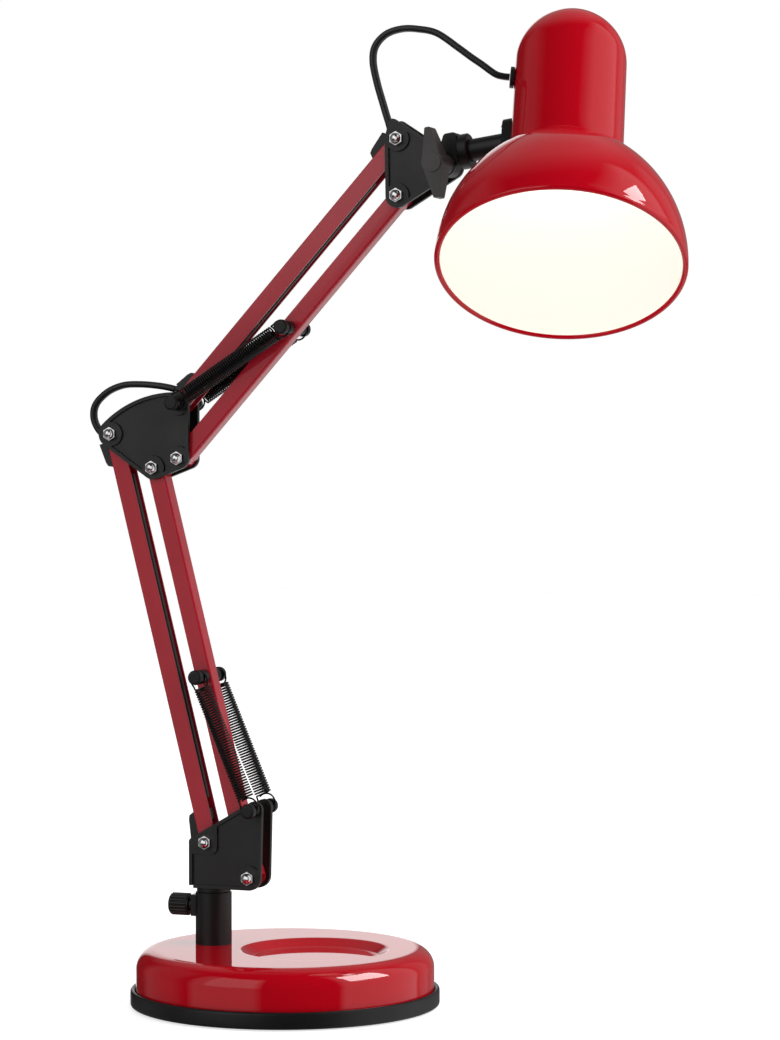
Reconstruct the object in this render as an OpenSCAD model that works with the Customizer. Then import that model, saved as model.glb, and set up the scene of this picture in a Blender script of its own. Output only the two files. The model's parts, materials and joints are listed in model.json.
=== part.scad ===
// Desk lamp with a sprung double-parallelogram arm on a round weighted base.
// Millimetres, Z up. The origin is the middle of the base on the table, and the arm swings in the XZ plane.

/* [Base] */
// Diameter of the base tray
base_d = 190; // [176:1:230]
// Height of the tray's wall above the table
tray_h = 11; // [9:0.5:14]
// Thickness of the tray's wall
tray_wall = 3.2; // [2.4:0.1:4.4]
// Thickness of the tray's floor
tray_floor = 2.4; // [1.6:0.1:3.2]
// Thickness of the foot pad
pad_t = 1.6; // [1.2:0.1:2.4]
// Distance of the foot pad's edge inside the tray's edge
pad_inset = 13; // [8:0.5:20]
// Height of the base cover's top above the table
base_h = 35.3; // [33:0.1:44]
// Radius of the cover's rounded edge
edge_r = 12; // [8:0.5:14]
// Thickness of the cover's sheet
sheet_t = 1.2; // [0.8:0.1:1.6]
// Distance of the dish's middle in front of the middle of the base
dish_x = 19.5; // [12:0.5:24]
// Radius of the dish at its rim
dish_r = 45.4; // [36:0.1:48]
// Depth of the dish
dish_depth = 4.8; // [4:0.1:9]
// Width of the dish's sloping wall
dish_slope = 6.9; // [4:0.1:10]
// Thickness of the cast ballast
ballast_h = 14; // [12:0.5:18]
// Gap between the cast ballast and the cover's outside
ballast_gap = 11.7; // [10:0.1:16]

/* [Post and swivel] */
// Distance of the post's axis inside the base's edge
post_edge = 47.4; // [42:0.1:50]
// Diameter of the post
post_d = 22.4; // [20:0.1:26]
// Height of the post's top above the table
post_top = 67.5; // [64:0.5:80]
// Diameter of the post's threaded stud
stud_d = 10; // [8:0.5:11]
// Diameter of the swivel spigot
spigot_d = 12; // [11:0.1:14]
// Bore of the spigot, where the cord goes down
spigot_bore = 7; // [6.4:0.1:8]
// Height of the spigot's collar
collar_h = 2.8; // [2:0.1:4]
// Height of the thumb screw above the table
thumb_z = 58.8; // [54:0.1:60]
// Diameter of the thumb knob
thumb_d = 14; // [11:0.5:18]
// Length of the thumb knob
thumb_l = 12.8; // [10:0.1:18]
// Thread diameter of the thumb screw
thumb_screw_d = 5; // [4:0.5:6]

/* [Arms] */
// Distance between the pivots of a lower bar
lower_l = 260; // [220:1:320]
// Angle of the lower arm above the table
lower_a = 104.2; // [96:0.1:108]
// Distance between the two lower pivots of the lower arm
lower_link = 35.3; // [33:0.1:40]
// Angle from the rear pivot down to the front pivot
lower_link_a = 36.5; // [32:0.1:40]
// Distance between the pivots of an upper bar
upper_l = 213.5; // [190:0.5:260]
// Angle of the upper arm above the table
upper_a = 47.8; // [38:0.1:54]
// Distance between the two pivots of the upper arm at one end
upper_link = 34; // [32:0.1:40]
// Width of a bar, seen from the side
bar_w = 11; // [10:0.1:12]
// Depth of a bar, across the arm
bar_d = 11; // [10:0.1:13]
// Thickness of a bar's sheet
bar_t = 1; // [0.8:0.1:1.2]

/* [Brackets] */
// Thickness of a moulded plate
plate_t = 3; // [2.4:0.1:4]
// Depth of a plate's recessed panel
panel_depth = 1.5; // [0.6:0.1:1.8]
// Width of the rim round a panel
rim_w = 2.2; // [1.6:0.1:3]
// Radius of the bosses under the nuts
boss_r = 7.4; // [6.6:0.1:8]
// Height of the rear lower pivot above the post
rear_pivot_z = 31.5; // [29:0.5:36]
// Distance of the rear lower pivot behind the post's axis
rear_pivot_back = 1.4; // [0:0.1:4]
// Height of the lower spring post above the front pivot
post_rise = 42; // [39:0.1:48]
// Distance of the lower spring post in front of the front pivot
post_reach = 3.6; // [1:0.1:6]
// Distance from the rear pivot to the elbow's spring pin, forwards
elbow_reach = 45.4; // [43:0.1:52]
// Distance from the rear pivot to the elbow's spring pin, upwards
elbow_rise = 18.8; // [16:0.1:24]
// Radius of the elbow's curved upper edge
crown_r = 70; // [60:1:90]
// Distance of the tilt pivot in front of the upper arm's end pivots
tilt_reach = 29.6; // [28:0.1:38]

/* [Fasteners] */
// Diameter of the pivot bolts
bolt_d = 4; // [3:0.5:4.5]
// Width across the flats of the dome nuts
nut_af = 7.4; // [6.5:0.1:8]
// Diameter of the pivot sleeves
sleeve_d = 6; // [5.6:0.1:7]
// Diameter of the tilt bolt
tilt_d = 5; // [4:0.5:5.5]
// Radius across the tips of the wing nut
wing_r = 21.2; // [17:0.1:26]

/* [Springs] */
// Outer diameter of the springs
coil_d = 9.5; // [8.5:0.1:10.5]
// Diameter of the spring wire
wire_d = 1; // [0.8:0.1:1.2]
// Number of curls in a spring
curls = 18; // [12:1:22]
// Distance of the lower spring pin from the front bar's lower pivot
lower_pin_u = 127; // [110:0.5:150]
// Distance of the upper spring pin from the bottom bar's lower pivot
upper_pin_u = 107.5; // [95:0.5:125]
// Distance of the springs from the middle plane
spring_y = 14.6; // [14.4:0.1:16]

/* [Head] */
// Upward slope of the stem
stem_slope = 8; // [0:0.5:15]
// Height of the stem's axis over the tilt pivot
stem_rise = 7.2; // [6.8:0.1:8.4]
// Diameter of the stem
stem_d = 13.5; // [11:0.1:15]
// Distance from the tilt pivot to the shade's neck
stem_reach = 42.7; // [40:0.1:56]
// Turn of the shade about the stem
shade_turn = 32.5; // [0:0.5:60]
// Radius of the shade's mouth
mouth_r = 73.4; // [66:0.1:80]
// Radius of the shade's neck
neck_r = 33.5; // [31:0.1:36]
// Radius of the bell's curve
bell_r = 89; // [80:0.1:100]
// Distance of the mouth below the stem
mouth_drop = 97; // [90:0.5:110]
// Length of the neck above the stem, up to the dome
neck_rise = 52.9; // [50:0.1:64]
// Thickness of the shade's sheet
shade_t = 1; // [0.7:0.1:1.4]
// Turn of the cord's hole round the neck, away from the stem
cord_turn = 23; // [22:0.5:40]
// Diameter of the bulb's globe
bulb_d = 55; // [45:1:60]

/* [Cord] */
// Width of the flat cord
cord_w = 5.5; // [4.5:0.1:6]
// Thickness of the flat cord
cord_t = 4.2; // [3:0.1:4.4]

/* [Hidden] */
$fn = 64;

// Clearances: running fits, loose fits and parts that must never touch
run = 0.05;
loose = 0.1;
clear = 0.3;
// Over-length of a cutting tool past the face that it opens
over = 1;

// Levels of the base
floor_z = pad_t + tray_floor;
cover_r = base_d / 2 - tray_wall - loose;
pad_r = base_d / 2 - pad_inset;
pad_recess = pad_t / 2;
ballast_r = cover_r - ballast_gap;
post_x = post_edge - base_d / 2;
post_boss_wall = 3;
nut_post_af = 1.6 * stud_d;
nut_post_h = 0.8 * stud_d;
nut_gap = 0.4;
washer_t = 1.5;
washer_margin = 3;
washer_r = nut_post_af / 2 + washer_margin;
pocket_gap = 1.5;
nut_pocket = floor_z + nut_gap + nut_post_h + washer_t;
screw_inset = 22;
screw_ring = ballast_r - screw_inset;
screw_cover = 3;
screw_tip_gap = 1;
tray_screw_d = 4;
tray_screw_head = 8;
grommet_z = 18;
grommet_a = 111;
grommet_d = 9;
grommet_in = 6;
grommet_out = 2;
grommet_lip = 2.5;
grommet_lip_w = 2;

// Pivots of the arm plane, as [x, z]
rear_low = [post_x - rear_pivot_back, post_top + rear_pivot_z];
front_low = rear_low + lower_link * heading(-lower_link_a);
rear_top = rear_low + lower_l * heading(lower_a);
front_top = front_low + lower_l * heading(lower_a);
top_low = rear_top + [elbow_reach, elbow_rise];
bottom_low = top_low - [0, upper_link];
top_end = top_low + upper_l * heading(upper_a);
bottom_end = top_end - [0, upper_link];
tilt = (top_end + bottom_end) / 2 + [tilt_reach, 0];
lower_post = front_low + [post_reach, post_rise];
lower_pin = front_low + lower_pin_u * heading(lower_a);
upper_pin = bottom_low + upper_pin_u * heading(upper_a);

// Planes across the arm
bar_y = bar_d / 2;
bar_gap = 0.7;
plate_in = bar_y + bar_gap;
plate_out = plate_in + plate_t;
nut_hex_h = 3;
nut_h = 6.2;
dome_inset = 0.35;
dome_sink = 0.5;
head_h = 2.4;
head_margin = 0.3;
head_r = nut_af / 2 + head_margin;

// Spring pins
groove_r = 2.3;
flange_r = 4.3;
pin_head_r = 4.6;
pin_shank_r = sleeve_d / 2;
groove_play = 2.4;
groove_w = wire_d + groove_play;
pin_head_l = 4.6;
pin_head_soft = 1.5;
pin_end = spring_y + groove_w / 2 + pin_head_l;
curl_r = (coil_d - wire_d) / 2;
hook_r = 5.6;
hook_shift = hook_r - wire_d / 2 - groove_r - clear;
hook_neck = 2.6;
hook_lead = hook_r + hook_neck;
wire_sides = 6;
curl_rings = 8;
hook_rings = 11;

// Cord guides and the cord's way through them, as [along the bar, off its middle]
guide_l = 20;
guide_mouth = 4;
elbow_mouth = 6.5;
guide_way = [[3, 7.2], [9, 5], [15, 2.6], [22, 0.2], [32, -2.3], [43, -3.1]];
elbow_way = [[3.7, 9.3], [7.2, 6.4], [11.7, 4.4], [17.4, 2.4], [25, -0.3], [34, -2.4], [45, -3.1]];
way_play = 0.6;
way_half = cord_t / 2 + way_play;
guide_y = bar_y - bar_t - loose;
tunnel_y = cord_w / 2 + clear;
cord_sides = 8;

// Free stretches of cord, as steps [x, y, z] from the post's top, the rear bar's top and the top bar's end
lead_route = [[-10, 0, 29], [-9.4, 0, 25.1], [-6.8, 0, 21.7], [-3.2, 0, 19.3], [-0.6, 0, 15.9],
  [0, 0, 10.5], [0, 0, 0.5], [0, 0, -9.5], [0, 0, -17.5]];
elbow_route = [[-7.8, 0, -1.6], [-11.6, 0, 1.9], [-14.4, 0, 6.3], [-15.7, 0, 10.9], [-15.2, 0, 16.4],
  [-11.8, 0, 21.7], [-4.5, 0, 27.2], [5.3, 0, 30.5], [16.3, 0, 30.9], [26.8, 0, 30.1], [34.8, 0, 28.9]];
head_route = [[-7.2, 0, 6], [-8.2, 0, 10], [-10, 0, 15.5], [-12, 0, 22], [-16, 0.3, 35], [-18.8, 0.8, 48],
  [-17.6, 1.5, 57.5], [-10.8, 2.2, 64.6], [-1, 2.9, 67.4], [9.2, 3.5, 66.9], [21.1, 4.2, 63.9],
  [34.9, 4.6, 54.3], [42, 5, 49], [49.2, 5.4, 44], [54.2, 5.8, 40.2], [58.1, 6.5, 37.7], [61.8, 7.7, 36.7],
  [65.2, 8.9, 36.3]];

// Head, in the stem's frame: X runs along the stem, the tilt pivot lies stem_rise below the start
lug_tilt_r = 7;
eye_inset = 0.4;
knuckle_end = 8.9;
knuckle_top = 12;
knuckle_low = 4.6;
knuckle_back = 3.2;
knuckle_soft = 2.6;
knuckle_edge = 1.8;
collar_at = knuckle_end + clear;
collar_l = 6.4;
collar_end = collar_at + collar_l;
collar_r = 10.6;
collar_bevel = 0.8;
journal_d = 6;
journal_at = -0.8;
journal_grip = 14;
groove_depth = 1;
collar_screw_d = 3;
collar_screw_at = 4.4;
foot_t = 5.6;
foot_w = 15;
foot_h = 34;
foot_screw_z = 11.5;
foot_screw_d = 3;
foot_head_d = 6;
foot_head_h = 2.2;
foot_saddle = 6;
slot_w = 1;
slot_depth = 0.9;
neck_in = neck_r - shade_t;
bell_mid = mouth_r - bell_r;
lip_r = 1.7;
strip_w = 14;
strip_t = 1.5;
strip_x = sqrt(neck_in * neck_in - strip_w * strip_w / 4) - loose;
strip_end = 6;
strip_reach = 8;
cord_hole_z = 39;
neck_grommet_in = 5;
holder_r = 21;
holder_step = 3;
holder_top = neck_rise - strip_t - clear;
holder_h = 46;
holder_skirt = 25.3;
holder_roof = 14;
cap_r = 13.2;
cap_gap = 0.2;
cap_h = 33;
cap_cone = 5;
cap_tip_r = 6;
cap_top = holder_top - holder_roof;
glass_t = 0.8;
glass_neck = 33;
glass_top = cap_top - cap_h;
globe_z = glass_top - glass_neck;

// Points and directions
function heading(a) = [cos(a), sin(a)];
function unit(v) = v / norm(v);
function lift(p, y = 0) = [p[0], y, p[1]];
function on_bar(p, a, u, v) = p + u * heading(a) + v * heading(a + 90);

// The straight edge along two circles [x, z, r], on the right-hand side of the way from p to q.
// It cuts each circle by a hair instead of touching it, so that the outline closes cleanly.
hair = 0.02;
function edge(p, q) =
  let (way = [q[0] - p[0], q[1] - p[1]], d = unit(way), k = (p[2] - q[2]) / norm(way),
    out = d * k + [d[1], -d[0]] * sqrt(1 - k * k))
  [[p[0], p[1]] + out * (p[2] - hair), [q[0], q[1]] + out * (q[2] - hair)];
function lobe(p, r) = [p[0], p[1], r];

// A flat outline round circles that are listed counter-clockwise
module lobes(circles) {
  n = len(circles);
  polygon([for (i = [0:n - 1]) each edge(circles[i], circles[(i + 1) % n])]);
  for (c = circles) translate([c[0], c[1]]) circle(c[2]);
}

// A flat outline of the arm plane made solid between two distances across the arm
module slab(y0, y1) {
  translate([0, y1, 0]) rotate([90, 0, 0]) linear_extrude(y1 - y0) children();
}
module rod(p, d, y0, y1) {
  slab(y0, y1) translate(p) circle(d = d);
}
module far_side() {
  mirror([0, 1, 0]) children();
}
module in_bar(p, a) {
  translate(lift(p)) rotate([0, -a, 0]) children();
}
module in_head() {
  translate(lift(tilt)) rotate([0, -stem_slope, 0]) translate([0, 0, stem_rise]) children();
}
module in_shade() {
  in_head() rotate([-shade_turn, 0, 0]) translate([stem_reach + neck_r, 0, 0]) children();
}
module along_x(x0) {
  translate([x0, 0, 0]) rotate([0, 90, 0]) children();
}

// A tube through places [point, side vector], w wide along the side vector and t thick across it
module tube(places, w, t, sides) {
  n = len(places);
  pts = [for (i = [0:n - 1])
    let (p = places[i][0],
      go = unit(places[min(i + 1, n - 1)][0] - places[max(i - 1, 0)][0]),
      raw = places[i][1],
      side = unit(raw - (raw * go) * go),
      up = cross(go, side))
    for (j = [0:sides - 1])
      let (a = 360 * (j + 0.5) / sides) p + side * (w / 2 * cos(a)) + up * (t / 2 * sin(a))];
  walls = [for (i = [0:n - 2]) for (j = [0:sides - 1])
    let (k = (j + 1) % sides, a = i * sides, b = a + sides)
    each [[a + j, b + j, b + k], [a + j, b + k, a + k]]];
  ends = [for (j = [1:sides - 2])
    each [[0, j, j + 1], [(n - 1) * sides, (n - 1) * sides + j + 1, (n - 1) * sides + j]]];
  polyhedron(pts, concat(walls, ends));
}
module cord_tube(route) {
  color("#222122") tube([for (p = route) [p, [0, 1, 0]]], cord_w, cord_t, cord_sides);
}
function route_from(p, steps) = [for (q = steps) lift(p) + q];

// Base
module base_tray() {
  color("#1c1b1c") difference() {
    rotate_extrude() difference() {
      union() {
        translate([0, pad_recess]) square([base_d / 2 - tray_wall / 2, tray_h - pad_recess - tray_wall / 2]);
        translate([0, pad_recess + tray_wall / 2]) square([base_d / 2, tray_h - pad_recess - tray_wall]);
        for (z = [pad_recess + tray_wall / 2, tray_h - tray_wall / 2])
          translate([base_d / 2 - tray_wall / 2, z]) circle(tray_wall / 2);
      }
      translate([0, floor_z]) square([base_d / 2 - tray_wall, tray_h]);
      square([pad_r + clear, pad_t]);
    }
    tray_screw_places() {
      cylinder(d = tray_screw_d + 2 * loose, h = base_h);
      cylinder(d = tray_screw_head + 2 * loose, h = pad_t + tray_floor / 2);
    }
  }
}
module foot_pad() {
  color("#2a2a2b") cylinder(r = pad_r, h = pad_t);
}
module tray_screw_places() {
  for (a = [0, 120, 240]) rotate(a) translate([screw_ring, 0, 0]) children();
}
module tray_screws() {
  color("#9a9a9c") tray_screw_places() {
    translate([0, 0, pad_t]) cylinder(d = tray_screw_head, h = tray_floor / 2);
    translate([0, 0, pad_t])
      cylinder(d = tray_screw_d, h = tray_floor + ballast_h - screw_cover - screw_tip_gap);
  }
}
module ballast() {
  color("#4a4a4c") difference() {
    union() {
      translate([0, 0, floor_z]) cylinder(r = ballast_r, h = ballast_h);
      translate([post_x, 0, floor_z])
        cylinder(d = post_d + 2 * post_boss_wall, h = base_h - sheet_t - floor_z);
    }
    translate([post_x, 0, 0]) {
      cylinder(d = stud_d + 2 * clear, h = base_h);
      cylinder(r = washer_r + pocket_gap, h = nut_pocket);
    }
    tray_screw_places() cylinder(d = tray_screw_d + 2 * loose, h = floor_z + ballast_h - screw_cover);
  }
}
module cover_half(inset) {
  r = cover_r - inset;
  h = base_h - inset;
  round = edge_r - inset;
  square([r, h - round]);
  square([r - round, h]);
  translate([r - round, h - round]) circle(round);
}
module dish_half(inset) {
  polygon([[0, base_h - dish_depth - inset], [dish_r - dish_slope + inset / 2, base_h - dish_depth - inset],
    [dish_r + inset, base_h], [dish_r + inset, base_h + over], [0, base_h + over]]);
}
module base_cover() {
  color("#b40014") difference() {
    union() {
      rotate_extrude() difference() {
        cover_half(0);
        cover_half(sheet_t);
        square([base_d, floor_z]);
      }
      intersection() {
        translate([dish_x, 0, 0]) rotate_extrude() dish_half(sheet_t);
        cylinder(r = cover_r, h = base_h);
      }
    }
    translate([dish_x, 0, 0]) rotate_extrude() dish_half(0);
    translate([post_x, 0, 0]) cylinder(d = stud_d + 2 * clear, h = base_h + over);
    grommet_place(cover_r - edge_r) cylinder(d = grommet_d + 2 * loose, h = edge_r + over);
  }
}
module grommet_place(r) {
  rotate(grommet_a) translate([r, 0, grommet_z]) rotate([0, 90, 0]) children();
}
module lead_grommet() {
  color("#1c1b1c") difference() {
    union() {
      grommet_place(cover_r - grommet_in) cylinder(d = grommet_d, h = grommet_in + grommet_out);
      grommet_place(cover_r + loose) cylinder(d = grommet_d + 2 * grommet_lip_w, h = grommet_lip);
    }
    grommet_place(cover_r - 2 * grommet_in) cylinder(d = cord_w + 2 * clear, h = 4 * grommet_in);
  }
}

// Post and swivel
thumb_boss_w = 9;
thumb_boss_h = 13.2;
thumb_boss_rise = 2.4;
thumb_boss = post_d / 2 + thumb_boss_rise;
thumb_grip = 8;
knob_gap = 1.8;
knob_neck_l = 1.5;
knob_neck_wall = 1.5;
knob_at = thumb_boss + knob_gap;
spigot_seat = 6;
spigot_gap = 0.5;
module across_post() {
  translate([post_x, 0, thumb_z]) rotate([0, -90, 0]) children();
}
module post() {
  color("#222122") difference() {
    union() {
      translate([post_x, 0, base_h]) cylinder(d = post_d, h = post_top - base_h);
      translate([post_x, 0, nut_pocket - nut_post_h - washer_t]) cylinder(d = stud_d, h = base_h);
      across_post() translate([-thumb_boss_h / 2, -thumb_boss_w / 2, 0])
        cube([thumb_boss_h, thumb_boss_w, thumb_boss]);
    }
    translate([post_x, 0, base_h + spigot_seat]) cylinder(d = spigot_d + 2 * run, h = post_top);
    translate([post_x, 0, -over]) cylinder(d = spigot_bore, h = post_top);
    across_post() cylinder(d = thumb_screw_d + 2 * run, h = post_d);
  }
}
module post_washer() {
  color("#9a9a9c") translate([post_x, 0, nut_pocket - washer_t]) difference() {
    cylinder(r = washer_r, h = washer_t);
    translate([0, 0, -over]) cylinder(d = stud_d + 2 * loose, h = washer_t + 2 * over);
  }
}
module post_nut() {
  color("#9a9a9c") translate([post_x, 0, nut_pocket - washer_t - nut_post_h]) difference() {
    cylinder(d = nut_post_af / cos(30), h = nut_post_h, $fn = 6);
    translate([0, 0, -over]) cylinder(d = stud_d + 2 * loose, h = nut_post_h + 2 * over);
  }
}
module thumb_screw() {
  color("#9a9a9c") across_post() translate([0, 0, spigot_d / 2 + clear])
    cylinder(d = thumb_screw_d, h = knob_at + thumb_grip - spigot_d / 2 - clear);
}
module thumb_knob() {
  ribs = 18;
  rib_r = 0.9;
  rib_end = 0.8;
  color("#222122") across_post() difference() {
    union() {
      translate([0, 0, knob_at]) cylinder(r = thumb_d / 2 - rib_r, h = thumb_l);
      for (i = [0:ribs - 1]) rotate(360 * i / ribs) translate([thumb_d / 2 - rib_r, 0, knob_at + rib_end])
        cylinder(r = rib_r, h = thumb_l - 2 * rib_end);
      translate([0, 0, knob_at - knob_neck_l])
        cylinder(d = thumb_screw_d + 2 * knob_neck_wall, h = knob_neck_l + over);
    }
    cylinder(d = thumb_screw_d + 2 * loose, h = knob_at + thumb_grip);
  }
}
spigot_grip = 10;
spigot_flange = 1.1;
spigot_flange_t = 2;
spigot_collar_inset = 0.8;
spigot_low = base_h + spigot_seat + spigot_gap;
spigot_top = post_top + collar_h + spigot_grip;
module swivel_spigot() {
  color("#2a2a2b") translate([post_x, 0, 0]) difference() {
    union() {
      translate([0, 0, spigot_low]) cylinder(d = spigot_d, h = spigot_top - spigot_low);
      translate([0, 0, post_top + loose])
        cylinder(d = post_d - 2 * spigot_collar_inset, h = collar_h - 2 * loose);
      translate([0, 0, spigot_top]) cylinder(d = spigot_d + 2 * spigot_flange, h = spigot_flange_t);
    }
    cylinder(d = spigot_bore, h = 2 * spigot_top);
  }
}

// Moulded plates: an outline with a sunk panel inside its rim and round its bosses
module plate(circles, bosses, crown = []) {
  difference() {
    slab(-plate_out, -plate_in) plate_outline(circles, crown, 0);
    slab(-plate_out - over, -plate_out + panel_depth) difference() {
      plate_outline([for (c = circles) [c[0], c[1], c[2] - rim_w]], crown, rim_w);
      for (b = bosses) translate(b) circle(boss_r);
      children();
    }
  }
}
// The crown is [first pivot, last pivot, radius]: an arched edge that runs on from one lobe to the other
module plate_outline(circles, crown, inset) {
  lobes(circles);
  if (len(crown) > 0) {
    p = crown[0];
    q = crown[1];
    r = crown[2] - inset;
    way = [q[0] - p[0], q[1] - p[1]];
    l = norm(way);
    a = r - (p[2] - inset);
    b = r - (q[2] - inset);
    x = (a * a - b * b + l * l) / (2 * l);
    d = way / l;
    mid = [p[0], p[1]] + x * d + sqrt(a * a - x * x) * [-d[1], d[0]];
    intersection() {
      translate(mid) circle(r, $fn = 180);
      polygon([for (e = [[p, 0.4], [p, 2], [q, 2], [q, 0.4]]) mid + e[1] * ([e[0][0], e[0][1]] - mid)]);
    }
  }
}
module bolt_holes(places, d) {
  for (p = places) rod(p, d, -plate_out - over, plate_out + over);
}

// Lower bracket: each half carries half of the block that grips the spigot and a raised lug at the rear pivot
bracket_behind = 11.4;
bracket_back = rear_low[0] - bracket_behind;
bracket_low = post_top + collar_h;
corner_r = 2.4;
front_margin = 0.4;
post_lobe_r = 5.2;
bracket_lobes = [[bracket_back + corner_r, bracket_low + corner_r, corner_r],
  lobe(front_low, boss_r + front_margin), lobe(lower_post, post_lobe_r),
  [bracket_back + corner_r, rear_low[1], corner_r]];
lug_soft = 4.5;
heel_w = 2.9;
heel_h = 1.7;
core_wall = 6.5;
core_front = post_x + spigot_d / 2 + core_wall;
core_sink = (plate_t - panel_depth) / 2;
module rear_lug() {
  right = rear_low[0] + boss_r - lug_soft;
  low = rear_low[1] - boss_r + lug_soft;
  lobes([[bracket_back, low, lug_soft], [right, low, lug_soft], [right, low + post_rise, lug_soft],
    [bracket_back, low + post_rise, lug_soft]]);
}
module lower_bracket_half() {
  difference() {
    union() {
      plate(bracket_lobes, [front_low, lower_post]) rear_lug();
      translate([bracket_back, -plate_in - core_sink, bracket_low])
        cube([core_front - bracket_back, plate_in + core_sink, spigot_grip + spigot_flange_t]);
    }
    bolt_holes([rear_low, front_low], bolt_d + 2 * run);
    rod(lower_post, pin_shank_r * 2 + 2 * run, -plate_out - over, 0);
    slab(-plate_out - over, over) translate([bracket_back - over, bracket_low - over])
      square([heel_w + over, heel_h + over]);
    translate([post_x, 0, 0]) {
      cylinder(d = spigot_d + 2 * loose, h = spigot_top + over);
      translate([0, 0, spigot_top])
        cylinder(d = spigot_d + 2 * spigot_flange + 2 * loose, h = 2 * spigot_flange_t);
    }
  }
}
module lower_bracket_near() {
  color("#252425") lower_bracket_half();
}
module lower_bracket_far() {
  color("#252425") far_side() lower_bracket_half();
}

// Pivots: a bolt from the far side, a dome nut on the near side and a sleeve between the plates
module bolt(p) {
  rod(p, bolt_d, -plate_out - nut_hex_h, plate_out);
  difference() {
    rod(p, 2 * head_r, plate_out, plate_out + head_h);
    slab(plate_out + head_h / 2, plate_out + head_h + over) translate(p) circle(d = bolt_d * 0.72, $fn = 6);
  }
}
module dome_nut(p, af, hole, at, hex_h, full_h) {
  dome_r = af / 2 - dome_inset;
  difference() {
    union() {
      slab(at - hex_h, at) translate(p) rotate(30) circle(d = af / cos(30), $fn = 6);
      intersection() {
        translate(lift(p, at - full_h + dome_r)) sphere(dome_r);
        rod(p, 2 * af, at - full_h - over, at - hex_h + dome_sink);
      }
      rod(p, 2 * dome_r, at - full_h + dome_r, at - hex_h + dome_sink);
    }
    rod(p, hole, at - hex_h - loose, at + over);
  }
}
module sleeve(p) {
  difference() {
    rod(p, sleeve_d, -plate_in, plate_in);
    rod(p, bolt_d + 2 * run, -plate_in - over, plate_in + over);
  }
}
module bolts(places) {
  color("#b9babd") for (p = places) bolt(p);
}
module nuts(places) {
  color("#d5d6d9") for (p = places) dome_nut(p, nut_af, bolt_d + 2 * run, -plate_out, nut_hex_h, nut_h);
}
module sleeves(places) {
  color("#9a9a9c") for (p = places) sleeve(p);
}
lower_pivots = [rear_low, front_low];
elbow_pivots = [rear_top, front_top, bottom_low];
head_pivots = [top_end, bottom_end];
module lower_pivot_bolts() bolts(lower_pivots);
module lower_pivot_nuts() nuts(lower_pivots);
module lower_pivot_sleeves() sleeves(lower_pivots);
module elbow_pivot_bolts() bolts(elbow_pivots);
module elbow_pivot_nuts() nuts(elbow_pivots);
module elbow_pivot_sleeves() sleeves(elbow_pivots);
module head_pivot_bolts() bolts(head_pivots);
module head_pivot_nuts() nuts(head_pivots);
module head_pivot_sleeves() sleeves(head_pivots);

// One end of a spring pin: flange, groove for the hook, and a rounded head
module pin_spool(seat) {
  g0 = spring_y - groove_w / 2;
  g1 = spring_y + groove_w / 2;
  rotate([90, 0, 0]) rotate_extrude() {
    translate([0, seat]) square([flange_r, g0 - seat]);
    translate([0, g0]) square([groove_r, groove_w]);
    translate([0, g1]) square([pin_head_r, pin_end - g1 - pin_head_soft]);
    translate([0, g1]) square([pin_head_r - pin_head_soft, pin_end - g1]);
    translate([pin_head_r - pin_head_soft, pin_end - pin_head_soft]) circle(pin_head_soft);
  }
}
module spring_pin(p, seat) {
  color("#1f1e1f") {
    rod(p, 2 * pin_shank_r, -seat - loose, seat + loose);
    translate(lift(p)) for (m = [0, 1]) mirror([0, m, 0]) pin_spool(seat);
  }
}
module bracket_spring_posts() {
  color("#1f1e1f") for (m = [0, 1]) mirror([0, m, 0]) {
    rod(lower_post, 2 * pin_shank_r, -plate_out - loose, -plate_in);
    translate(lift(lower_post)) pin_spool(plate_out);
  }
}
module lower_spring_pin() spring_pin(lower_pin, bar_y);
module upper_spring_pin() spring_pin(upper_pin, bar_y);
module elbow_spring_pin() spring_pin(top_low, plate_out);

// Springs: hook, curls and hook as one wire from pin p to pin q
function in_spring(p, q, y, a, b, c) = let (d = unit(q - p)) lift(p + a * d + b * [-d[1], d[0]], y + c);
function spring_side(p, q, b, a, c) = let (d = unit(q - p)) lift(a * d + b * [-d[1], d[0]], c);
function hook(p, q, y, l, end) = [for (i = [0:hook_rings])
  let (t = -50 - 240 * (end ? hook_rings - i : i) / hook_rings, s = end ? -1 : 1, at = end ? l : 0)
  [in_spring(p, q, y, at + s * (hook_shift + hook_r * cos(t)), hook_r * sin(t), 0),
    spring_side(p, q, sin(t), s * cos(t), 0)]];
function spring_places(p, q, y) =
  let (l = norm(q - p), pitch = (l - 2 * hook_lead) / curls)
  concat(hook(p, q, y, l, false),
    [[in_spring(p, q, y, hook_lead - hook_neck / 2, curl_r, 0), spring_side(p, q, 1, 0, 0)]],
    [for (i = [0:curls * curl_rings])
      let (t = 360 * i / curl_rings)
      [in_spring(p, q, y, hook_lead + pitch * i / curl_rings, curl_r * cos(t), curl_r * sin(t)),
        spring_side(p, q, cos(t), 0, sin(t))]],
    [[in_spring(p, q, y, l - hook_lead + hook_neck / 2, curl_r, 0), spring_side(p, q, 1, 0, 0)]],
    hook(p, q, y, l, true));
function own_gap(places) =
  min([for (i = [0:len(places) - 1]) for (j = [i + 5:1:len(places) - 1]) norm(places[i][0] - places[j][0])])
  - wire_d;
module spring(p, q, y) {
  places = spring_places(p, q, y);
  echo(least_gap_in_spring = own_gap(places));
  color("#1a1a1b") tube(places, wire_d, wire_d, wire_sides);
}
module lower_spring_near() spring(lower_post, lower_pin, -spring_y);
module lower_spring_far() spring(lower_post, lower_pin, spring_y);
module upper_spring_near() spring(top_low, upper_pin, -spring_y);
module upper_spring_far() spring(top_low, upper_pin, spring_y);

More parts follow.
